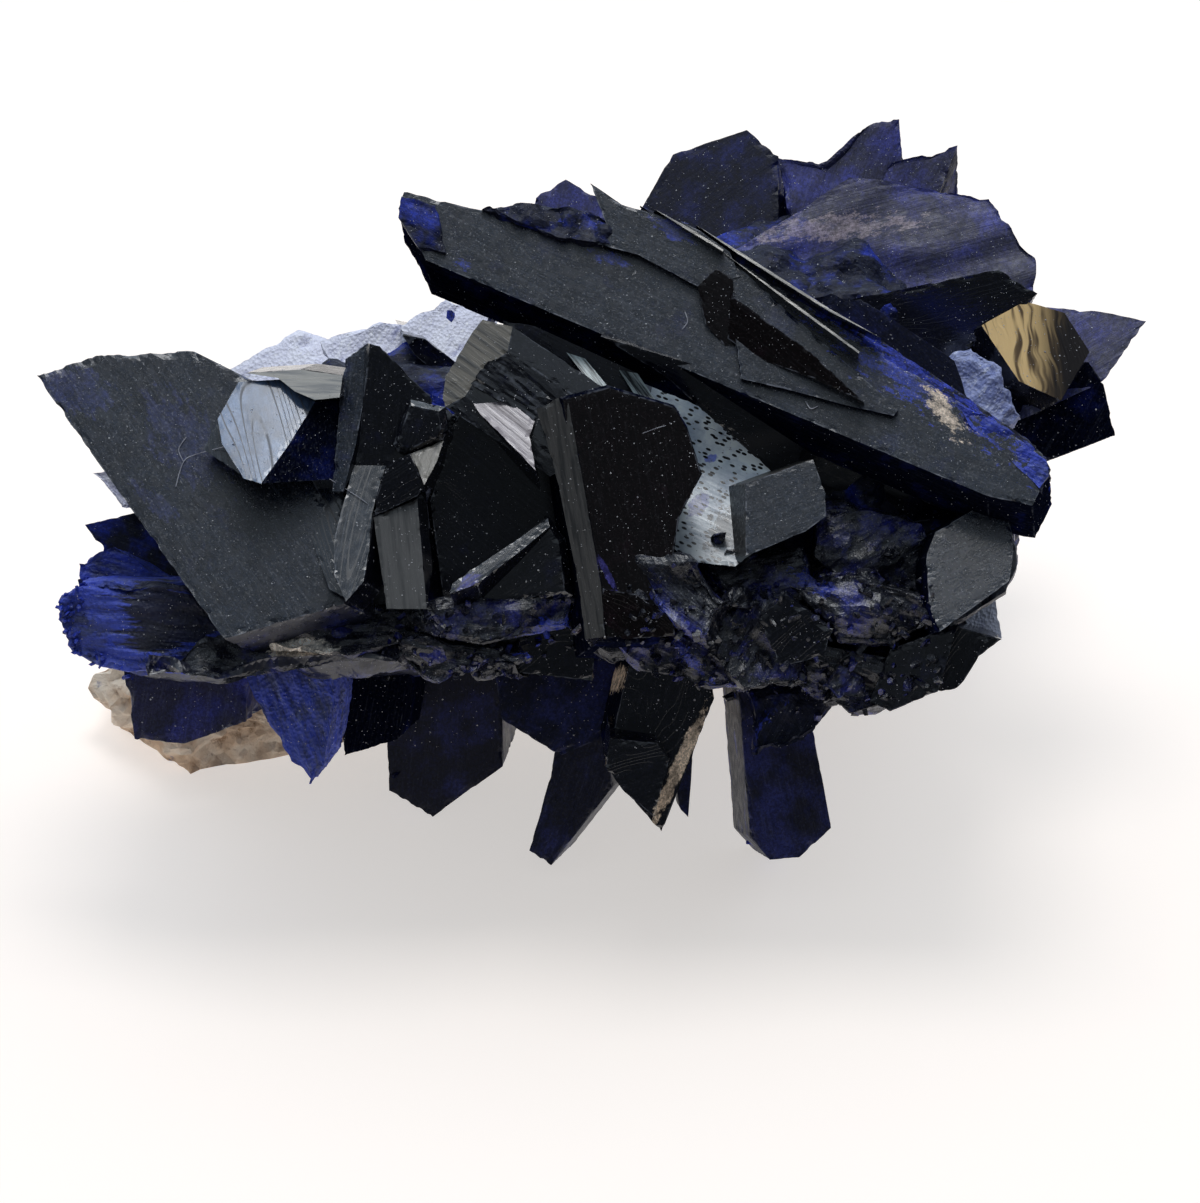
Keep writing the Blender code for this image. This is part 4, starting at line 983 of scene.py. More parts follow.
@dataclass(frozen=True)
class Crystal:
    """A crystal whose front face is outlined in the display view.

    outline: corners of the front face, (across, up).
    out: how far the middle of the face stands out.
    lean: how fast the face comes out towards the viewer, per millimetre across and per millimetre up.
    body: the run from the front face to the back face, (across, up, out).
    chamfer: width of the bevel faces round the front face.
    taper: size of the back face against the front face.
    look, side: the finish of the front face, and of the rest if it differs.
    strike: the direction its striae run in the display view, in degrees from across.
    wear: how deep its edges are chipped.
    rough: how its whole surface is broken up, if it is.
    """

    outline: tuple[Point2, ...]
    out: float
    lean: Point2
    body: Point3
    chamfer: float = 0.0
    taper: float = 1.0
    look: Look = Look.SLATE
    side: Look | None = None
    strike: float = 70.0
    wear: float = 0.05
    rough: Fracture | None = None

    def loops(self) -> list[list[Vector]]:
        """The crystal's loops of corners, from front to back.

        Returns:
            Two loops, or three with a chamfer.
        """
        flat = [Vector(corner) for corner in self.outline]
        centre = middle(flat)
        reach = sum((corner - centre).length for corner in flat) / len(flat)
        front = [Vector((*corner, self.out + (corner - centre).dot(Vector(self.lean)))) for corner in flat]
        run = Vector(self.body)
        back = scaled([point + run for point in front], self.taper)
        if not self.chamfer:
            return [front, back]
        step = run.normalized()
        inner = scaled(front, 1.0 - self.chamfer / reach)
        return [inner, [point + step * self.chamfer for point in front], back]


@dataclass
class Faceted:
    """Triangles in the display view with what the finishes read from them."""

    CLEARANCE: ClassVar[float] = 0.01 * MM

    points: list[np.ndarray] = field(default_factory=list)
    triangles: list[np.ndarray] = field(default_factory=list)
    looks: list[np.ndarray] = field(default_factory=list)
    tones: list[np.ndarray] = field(default_factory=list)
    grains: list[np.ndarray] = field(default_factory=list)
    rims: list[np.ndarray] = field(default_factory=list)
    count: int = 0

    def take(self, points: np.ndarray, triangles: np.ndarray, looks: np.ndarray, tones: np.ndarray,
             grains: np.ndarray, rims: np.ndarray) -> None:
        """Adds some triangles.

        Args:
            points: their corners.
            triangles: three corner numbers for each.
            looks: the finish of each, by its number in LOOKS.
            tones: a random number for each.
            grains: the crystal's own coordinates at each corner.
            rims: how far each corner is from the crystal's nearest edge.
        """
        self.points.append(points)
        self.triangles.append(triangles + self.count)
        self.looks.append(looks)
        self.tones.append(tones)
        self.grains.append(grains)
        self.rims.append(rims)
        self.count += len(points)

    def mesh(self, name: str, matrix: Matrix) -> bpy.types.Mesh:
        """Makes the mesh.

        Args:
            name: its name.
            matrix: from these coordinates to the part's frame.

        Returns:
            The mesh, without materials.
        """
        points = np.concatenate(self.points)
        triangles = np.concatenate(self.triangles)
        mesh = bpy.data.meshes.new(name)
        frame = np.array(matrix)
        seat = points @ frame[:3, :3].T + frame[:3, 3]
        seat[:, 2] = np.maximum(seat[:, 2], self.CLEARANCE)
        mesh.from_pydata(seat.tolist(), [], triangles.tolist())
        mesh.polygons.foreach_set("material_index", np.concatenate(self.looks).astype(np.int32))
        for title, kind, domain, values in (
            ("grain", "FLOAT_VECTOR", "POINT", self.grains), ("view", "FLOAT_VECTOR", "POINT", self.points),
            ("rim", "FLOAT", "POINT", self.rims), ("tone", "FLOAT", "FACE", self.tones)):
            layer = mesh.attributes.new(title, kind, domain)
            key = "vector" if kind == "FLOAT_VECTOR" else "value"
            layer.data.foreach_set(key, np.concatenate(values).astype(np.float32).ravel())
        mesh.update()
        return mesh


class CrystalCutter:
    """Cuts crystals with fine, chipped edges.

    EDGE_ZONE: how far from an edge the triangles are fine.
    FINE: the size of the triangles there.
    COARSE, ROUGH: the longest side of a triangle on a flat face and on a rough one.
    LONGEST, GROWTH: the longest side against FINE near an edge, and how fast it grows away from it.
    SHARP: the least angle of an edge that chips, in radians.
    CHIP_REACH: how far chips reach in from an edge, at no wear and more for each unit of wear.
    PASSES, EVENING: how often triangles are split, and normals evened out.
    """

    EDGE_ZONE = 0.3
    FINE = 0.16
    COARSE = 4.0
    ROUGH = 0.23
    LONGEST = 1.5
    GROWTH = 1.6
    SHARP = 0.12
    CHIP_REACH = (0.08, 2.2)
    PASSES = 8
    EVENING = 4

    def __init__(self, fineness: float = 1.0) -> None:
        """Sets how fine the chips are.

        Args:
            fineness: the size of the triangles along the edges against the usual one.
        """
        self.fine = self.FINE * fineness

    @staticmethod
    def blank(crystal: Crystal) -> bmesh.types.BMesh:
        """The crystal before it is chipped: front faces carry index 1.

        Args:
            crystal: what to build.

        Returns:
            A closed bmesh with flat faces.
        """
        loops = crystal.loops()
        shape = bmesh.new()
        kind = shape.faces.layers.int.new("front")
        plane = shape.faces.layers.int.new("plane")
        rings = [[shape.verts.new(point) for point in loop] for loop in loops]
        for ring, after in zip(rings, rings[1:]):
            for i in range(len(ring)):
                j = (i + 1) % len(ring)
                shape.faces.new((ring[i], ring[j], after[j], after[i]))
        shape.faces.new(rings[0])[kind] = 1
        shape.faces.new(rings[-1])
        for number, face in enumerate(shape.faces):
            face[plane] = number
        bmesh.ops.recalc_face_normals(shape, faces=shape.faces)
        return shape

    @classmethod
    def sharp_edges(cls, shape: bmesh.types.BMesh) -> tuple[np.ndarray, np.ndarray, np.ndarray]:
        """The crystal's edges.

        Args:
            shape: the blank.

        Returns:
            Their first ends, their runs and their mean outward normals.
        """
        edges = [edge for edge in shape.edges if edge.calc_face_angle(0.0) > cls.SHARP]
        start = np.array([edge.verts[0].co[:] for edge in edges])
        run = np.array([(edge.verts[1].co - edge.verts[0].co)[:] for edge in edges])
        normal = np.array(
            [sum((face.normal for face in edge.link_faces), Vector()).normalized()[:] for edge in edges])
        return start, run, normal

    @staticmethod
    def nearest(points: np.ndarray, start: np.ndarray, run: np.ndarray) -> tuple[np.ndarray, np.ndarray]:
        """How far points are from edges.

        Args:
            points: the points.
            start: first ends of the edges.
            run: runs of the edges.

        Returns:
            The distance to the nearest edge, and that edge's number.
        """
        away = points[:, None, :] - start[None]
        along = np.clip((away * run[None]).sum(2) / np.maximum((run * run).sum(1), 1e-9)[None], 0.0, 1.0)
        gap = np.linalg.norm(away - along[..., None] * run[None], axis=2)
        which = gap.argmin(1)
        return gap[np.arange(len(points)), which], which

    def refine(self, shape: bmesh.types.BMesh, start: np.ndarray, run: np.ndarray, zone: float,
               coarse: float) -> None:
        """Splits the triangles near the edges until they are fine.

        Args:
            shape: the blank, made of triangles.
            start: first ends of the edges.
            run: runs of the edges.
            zone: how far from an edge counts as near.
            coarse: the longest side a triangle may keep.
        """
        for _ in range(self.PASSES):
            edges = list(shape.edges)
            ends = np.array([[edge.verts[0].co[:], edge.verts[1].co[:]] for edge in edges])
            length = np.linalg.norm(ends[:, 1] - ends[:, 0], axis=1)
            gap = self.nearest(ends.mean(1), start, run)[0]
            limit = self.fine * self.LONGEST + np.maximum(gap - zone, 0.0) * self.GROWTH
            chosen = [edges[i] for i in np.nonzero(length > np.minimum(limit, coarse))[0]]
            if not chosen:
                break
            bmesh.ops.subdivide_edges(shape, edges=chosen, cuts=1)
            bmesh.ops.triangulate(shape, faces=[face for face in shape.faces if len(face.verts) > 3])

    @classmethod
    def chips(cls, points: np.ndarray, gap: np.ndarray, normal: np.ndarray, wear: float, strike: float,
              seed: float) -> np.ndarray:
        """How the points near the edges are chipped back.

        Args:
            points: the points.
            gap: their distances from the nearest edge.
            normal: that edge's outward normal at each.
            wear: how deep the chips are.
            strike: the striae's direction in radians, which heavy chips follow.
            seed: a number that sets this crystal's chips apart.

        Returns:
            The chipped points.
        """
        width = cls.CHIP_REACH[0] + cls.CHIP_REACH[1] * wear
        pitch = min(5.0, 0.35 / wear)
        cosine, sine = math.cos(strike), math.sin(strike)
        moved = points.copy()
        for i in np.nonzero(gap < width)[0]:
            x, y, z = points[i]
            along, across = x * cosine + y * sine, y * cosine - x * sine
            where = Vector((along * 0.5, across, z)) * pitch + Vector((seed, -seed, seed * 0.7))
            bite = max(0.0, noise.noise(where) - 0.02) * 2.0 + 0.35 * abs(noise.noise(where * 3.3))
            moved[i] -= normal[i] * (wear * bite * (1.0 - gap[i] / width))
        return moved

    @classmethod
    def softened(cls, shape: bmesh.types.BMesh) -> np.ndarray:
        """The normals of a shape, evened out over their neighbours so that relief doesn't fold at its edges.

        Args:
            shape: the shape, with its corners numbered.

        Returns:
            One unit normal for each corner.
        """
        normals = np.array([vert.normal[:] for vert in shape.verts])
        ends = np.array([[vert.index for vert in edge.verts] for edge in shape.edges])
        for _ in range(cls.EVENING):
            gathered = normals.copy()
            np.add.at(gathered, ends[:, 0], normals[ends[:, 1]])
            np.add.at(gathered, ends[:, 1], normals[ends[:, 0]])
            normals = gathered / np.maximum(np.linalg.norm(gathered, axis=1), 1e-9)[:, None]
        return normals

    def cut(self, crystal: Crystal, seed: int, target: Faceted) -> None:
        """Cuts one crystal and adds it to a sub-assembly.

        Args:
            crystal: what to cut.
            seed: the number that its chips and stains come from.
            target: what it is added to.
        """
        shape = self.blank(crystal)
        start, run, normal = self.sharp_edges(shape)
        bmesh.ops.triangulate(shape, faces=shape.faces)
        coarse = self.ROUGH if crystal.rough else self.COARSE
        self.refine(shape, start, run, max(self.EDGE_ZONE, 2.0 * crystal.wear), coarse)
        kind, plane = shape.faces.layers.int["front"], shape.faces.layers.int["plane"]
        shape.verts.index_update()
        shape.normal_update()
        points = np.array([vert.co[:] for vert in shape.verts])
        triangles = np.array([[vert.index for vert in face.verts] for face in shape.faces])
        gap, which = self.nearest(points, start, run)
        strike = math.radians(crystal.strike)
        moved = self.chips(points, gap, normal[which], crystal.wear, strike, seed * 7.31)
        side = crystal.side or crystal.look
        looks = np.array([LOOKS.index(crystal.look if face[kind] else side) for face in shape.faces])
        chance = random.Random(seed)
        plane_tone = [chance.random() for _ in range(64)]
        tones = np.array([plane_tone[face[plane] % 64] for face in shape.faces])
        if crystal.rough:
            outward = self.softened(shape)
            rise, border, chip_tone = crystal.rough.relief(points, strike, seed % 97)
            moved = moved + outward * (rise - 0.5 * crystal.rough.depth)[:, None]
            gap = np.minimum(border + 0.03, gap + 0.05)
            tones = chip_tone[triangles[:, 0]]
        shape.free()
        shift = np.array([chance.uniform(-40.0, 40.0) for _ in range(3)])
        turn = np.array(
            [[math.cos(strike), math.sin(strike), 0.0], [-math.sin(strike), math.cos(strike), 0.0],
             [0.0, 0.0, 1.0]])
        level = points - np.outer(points[:, :2] @ np.array(crystal.lean), (0.0, 0.0, 1.0))
        target.take(moved, triangles, looks, tones, level @ turn.T + shift, np.minimum(gap, 2.0))


class SubAssembly:
    """A group of crystals that becomes one piece."""

    name = "crystals"
    first_seed = 0
    fineness = 1.0

    def crystals(self) -> dict[str, Crystal]:
        """The crystals by name."""
        return {}

    def cut(self) -> Faceted:
        """Cuts every crystal of the group.

        Returns:
            The triangles.
        """
        cutter = CrystalCutter(self.fineness)
        found = Faceted()
        for i, crystal in enumerate(self.crystals().values()):
            cutter.cut(crystal, self.first_seed + i, found)
        return found


@dataclass
class LongBlade(SubAssembly):
    """The long blade across the top, the plates that step up its crest, and two thin black plates on the
    crest that paint its shade.
    """

    name: str = "long_blade"
    first_seed: int = 100
    lean: Point2 = (0.03, -0.28)
    strike: float = -25.6

    def crystals(self) -> dict[str, Crystal]:
        """The blade's plates.

        Returns:
            The crystals by name.
        """
        lean, strike = self.lean, self.strike
        return {
            "main": Crystal(
                ((-7.9, 16.5), (-8.1, 15.8), (-7.5, 14.8), (-7.0, 13.7), (15.4, 4.2), (17.2, 3.8),
                 (17.9, 5.2), (17.6, 5.9), (13.0, 8.8), (4.8, 14.1), (-5.2, 15.8)),
                1.0, lean, (0.2, -1.3, -2.4), look=Look.SLATE, side=Look.DUSK, strike=strike, wear=0.06),
            "keel": Crystal(
                ((0.0, 10.6), (2.6, 9.0), (6.9, 5.2), (9.4, 3.5), (12.0, 3.1), (16.2, 3.6), (15.6, 4.6),
                 (6.0, 8.8)),
                -0.2, (0.0, 0.45), (0.3, 0.5, -3.0), look=Look.GLOSS, strike=strike),
            "tip_plate": Crystal(
                ((-0.4, 16.8), (0.8, 15.95), (2.0, 15.6), (3.8, 15.0), (5.2, 14.0), (5.6, 13.0),
                 (3.9, 12.6), (2.8, 13.2), (1.5, 13.9), (-0.1, 14.3), (0.3, 15.0)),
                0.3, lean, (0.4, -0.2, -1.4), look=Look.SLATE, side=Look.DUSK, strike=strike),
            "step_plate": Crystal(
                ((4.9, 14.0), (7.4, 11.7), (10.2, 9.2), (11.9, 7.65), (11.7, 7.4), (9.9, 7.8), (7.7, 8.4),
                 (5.6, 8.9), (5.3, 11.5)),
                1.78, lean, (0.1, -0.2, -1.4), look=Look.SLATE, side=Look.DUSK, strike=strike),
            "crest_plate": Crystal(
                ((1.6, 15.9), (3.8, 15.1), (7.4, 12.9), (11.0, 10.6), (14.6, 8.2), (17.4, 6.2), (16.6, 5.9),
                 (14.2, 6.9), (11.8, 7.8), (9.6, 9.4), (7.3, 11.4), (4.6, 13.6)),
                1.28, lean, (0.0, -0.3, -2.2), look=Look.CRUST, strike=strike, wear=0.08),
            # Painted shade: two thin black plates set where the crest lies in shade.
            "shaded_wedge": Crystal(
                ((3.9, 12.6), (4.6, 13.3), (5.3, 12.9), (5.45, 11.4), (5.4, 10.2), (5.0, 10.2), (4.2, 11.1)),
                1.2, (0.05, 0.02), (0.1, 0.1, -1.6), look=Look.JET, strike=strike),
            "painted_shade_step": Crystal(
                ((5.2, 12.3), (6.7, 11.15), (8.4, 9.95), (10.5, 7.95), (8.5, 8.9), (6.6, 9.6), (5.6, 10.15),
                 (5.1, 10.5)),
                1.98, (0.35, 0.1), (0.1, -0.2, -1.4), look=Look.JET, strike=-40.0, wear=0.03),
            "upper_line": Crystal(
                ((2.15, 15.75), (3.6, 14.95), (4.95, 14.08), (4.9, 14.0), (3.5, 14.87)), 0.72, (0.03, -0.5),
                (0.0, -0.2, -1.2), look=Look.TAN, side=Look.GLOSS, strike=strike, wear=0.01),
            "lower_line": Crystal(
                ((4.85, 14.05), (7.6, 12.03), (10.35, 9.95), (10.3, 9.88), (7.5, 11.97)), 1.86,
                (0.03, -0.5), (0.0, -0.2, -1.2), look=Look.TAN, side=Look.GLOSS, strike=strike, wear=0.01),
            "far_line": Crystal(
                ((3.85, 15.1), (5.6, 14.0), (9.2, 11.66), (11.2, 10.5), (9.1, 11.6), (5.5, 13.93)), 1.42,
                (0.03, -0.5), (0.0, -0.2, -1.2), look=Look.TAN, side=Look.GLOSS, strike=strike, wear=0.01),
            "blue_crest": Crystal(
                ((-4.9, 15.8), (-3.4, 16.2), (-2.1, 16.1), (-0.4, 15.9), (0.5, 15.2), (0.6, 14.2),
                 (-1.8, 14.5)),
                0.0, (0.0, -0.35), (0.2, -0.4, -1.8), 0.2, rough=CRUSTY, look=Look.CRUST, strike=strike,
                wear=0.15),
            "right_end": Crystal(
                ((13.9, 8.2), (16.6, 6.9), (17.95, 5.9), (18.1, 4.9), (17.6, 4.3), (16.4, 5.4), (14.8, 6.6)),
                2.82, lean, (-0.3, -0.3, -2.6), 0.2, rough=CRUSTY, look=Look.ETCHED, side=Look.CRUST,
                strike=strike, wear=0.2),
            "broken_end": Crystal(
                ((-8.0, 16.3), (-6.6, 16.0), (-6.2, 14.0), (-7.3, 14.2), (-8.1, 15.4)),
                -0.3, (0.03, -0.26), (0.3, -0.5, -1.5), look=Look.CRUST, strike=strike, wear=0.15),
        }


@dataclass
class LeftFan(SubAssembly):
    """The big triangular tablet, the torn blue blade and the teeth at its edge."""

    name: str = "left_fan"
    first_seed: int = 200
    strike: float = -54.0

    def crystals(self) -> dict[str, Crystal]:
        """The fan's crystals.

        Returns:
            The crystals by name.
        """
        strike = self.strike
        return {
            "tablet": Crystal(
                ((-22.7, 9.1), (-20.3, 9.9), (-16.4, 10.1), (-14.0, 8.9), (-10.4, 3.0), (-10.2, -0.1),
                 (-15.0, -1.5)),
                0.0, (0.05, -0.3), (1.2, -0.6, -2.0), look=Look.SLATE, side=Look.NAVY, strike=strike,
                wear=0.1),
            "tablet_back": Crystal(
                ((-19.5, 8.4), (-17.0, 9.4), (-13.0, 8.8), (-10.5, 4.0), (-12.0, 0.0), (-15.5, 1.5)),
                -2.2, (0.05, -0.3), (2.4, -1.6, -4.0), 0.0, 0.7, look=Look.NAVY, strike=strike),
            "upper_tooth": Crystal(
                ((-20.8, 3.1), (-18.7, 3.6), (-15.0, 0.0), (-19.4, -0.6), (-20.1, 2.1)),
                -2.2, (0.1, -0.2), (1.8, -0.8, -3.0), look=Look.CRUST, strike=-20.0, wear=0.15),
            "lower_tooth": Crystal(
                ((-21.1, 1.6), (-19.6, 2.3), (-16.2, 0.4), (-16.6, -1.4), (-20.8, 0.1)),
                -1.4, (0.1, 0.1), (1.8, -0.6, -3.0), rough=FIBROUS, look=Look.ETCHED, strike=-15.0, wear=0.2),
            "broken_blade": Crystal(
                ((-21.0, 0.9), (-21.9, 0.3), (-22.0, -0.9), (-21.4, -2.1), (-20.3, -2.7), (-18.8, -3.1),
                 (-15.8, -3.0), (-14.2, -1.9), (-16.4, 0.8)),
                0.0, (0.04, 0.1), (1.8, 0.4, -3.4), 0.35, rough=FIBROUS, look=Look.ETCHED, strike=-3.0,
                wear=0.34),
            "rear_tooth": Crystal(
                ((-20.9, 5.3), (-18.6, 5.8), (-16.0, 3.0), (-19.6, 3.7)),
                -6.0, (0.1, -0.2), (2.6, -1.0, -3.0), rough=SHEETED, look=Look.PALE, strike=-30.0, wear=0.15),
            "ledge": Crystal(
                ((-18.7, -2.5), (-15.0, -1.2), (-10.2, -0.1), (-7.2, -0.4), (-8.0, -2.6), (-10.8, -2.5),
                 (-15.4, -3.2)),
                0.5, (0.0, -0.6), (0.4, -0.5, -3.6), rough=HACKLY, look=Look.DRUSE, side=Look.NAVY,
                strike=10.0, wear=0.12),
            "ledge_back": Crystal(
                ((-18.0, 0.4), (-12.0, 1.0), (-8.0, 0.6), (-8.4, -2.6), (-13.0, -3.0), (-17.8, -2.8)),
                -2.0, (0.0, 0.1), (1.6, -0.4, -5.0), look=Look.NAVY, strike=5.0),
        }


@dataclass
class Underside(SubAssembly):
    """The crystals that hang below the front rim. The longest reach the ground."""

    name: str = "underside"
    first_seed: int = 300

    def crystals(self) -> dict[str, Crystal]:
        """The hanging crystals.

        Returns:
            The crystals by name.
        """
        return {
            "navy_block": Crystal(
                ((-19.4, -2.4), (-14.2, -2.4), (-14.4, -4.9), (-16.9, -5.8), (-18.9, -5.6)),
                -5.0, (0.0, 0.1), (1.2, 1.0, -4.0), look=Look.SAIL, strike=80.0, wear=0.15),
            "striated_blade": Crystal(
                ((-14.6, -2.2), (-10.8, -2.0), (-10.7, -4.2), (-11.1, -6.7), (-11.7, -7.5), (-12.4, -6.6),
                 (-13.7, -4.6)),
                -1.8, (0.1, 0.2), (0.8, 1.0, -2.6), rough=FIBROUS, look=Look.ETCHED, strike=-70.0, wear=0.2),
            "shadow_block": Crystal(
                ((-10.8, -2.0), (-7.6, -2.0), (-8.2, -5.6), (-10.4, -6.3)),
                -6.0, (0.0, 0.1), (0.8, 0.8, -4.0), look=Look.DUSK, strike=80.0, wear=0.1),
            "rear_leg": Crystal(
                ((-9.0, -0.4), (-4.0, -0.4), (-4.0, -6.8), (-6.9, -8.9), (-8.7, -7.8)),
                -10.7, (0.05, 0.25), (0.6, 1.6, -3.4), look=Look.SHADE, strike=85.0, wear=0.08),
            "front_leg": Crystal(
                ((-1.6, -4.6), (0.3, -5.2), (0.5, -7.6), (-2.0, -10.8), (-2.9, -10.2), (-2.0, -7.0)),
                -7.6, (0.1, 0.2), (0.9, 0.8, -2.8), look=Look.SHADE, strike=70.0, wear=0.06),
            "navy_wedge": Crystal(
                ((-4.4, -2.0), (0.8, -2.0), (0.4, -5.4), (-1.6, -6.3), (-4.0, -4.8)),
                -5.6, (0.0, 0.1), (0.4, 1.0, -4.0), look=Look.SHADE, strike=60.0, wear=0.1),
            "chevron_back": Crystal(
                ((1.2, -2.4), (4.2, -3.0), (4.6, -3.9), (2.5, -9.3), (2.0, -8.8), (0.2, -6.6)), -2.2,
                (0.1, 0.15), (-0.2, 1.4, -2.6), look=Look.GLOSS, side=Look.DUSK, strike=70.0, wear=0.05),
            "chevron_front": Crystal(
                ((0.4, -5.5), (2.3, -5.7), (2.8, -6.4), (2.2, -8.7), (1.0, -7.7), (0.2, -6.7)),
                -1.7, (0.0, 0.1), (-0.1, 0.9, -1.6), look=Look.GLOSS, strike=20.0, wear=0.06),
            "lower_prism": Crystal(
                ((5.6, -3.4), (8.3, -3.4), (9.4, -9.2), (8.1, -10.4), (6.9, -10.5), (6.1, -9.6)), -4.9,
                (0.05, 0.2), (-0.6, 0.3, -5.4), look=Look.SHADE, side=Look.CRUST, strike=-78.0, wear=0.08),
            "blue_chunk": Crystal(
                ((5.7, -3.4), (6.0, -6.5), (6.8, -6.2), (8.2, -5.9), (9.1, -5.1), (9.6, -3.6)), -1.2,
                (0.1, -0.2), (0.1, 0.8, -2.6), 0.3, rough=HACKLY, look=Look.CRUST, strike=60.0, wear=0.15),
            "slim_needle": Crystal(
                ((2.6, -1.0), (3.5, -1.0), (3.9, -5.0), (3.6, -8.8), (3.2, -8.4)),
                -6.6, (0.0, 0.1), (-0.2, 0.6, -1.6), look=Look.SHADE, strike=88.0),
        }


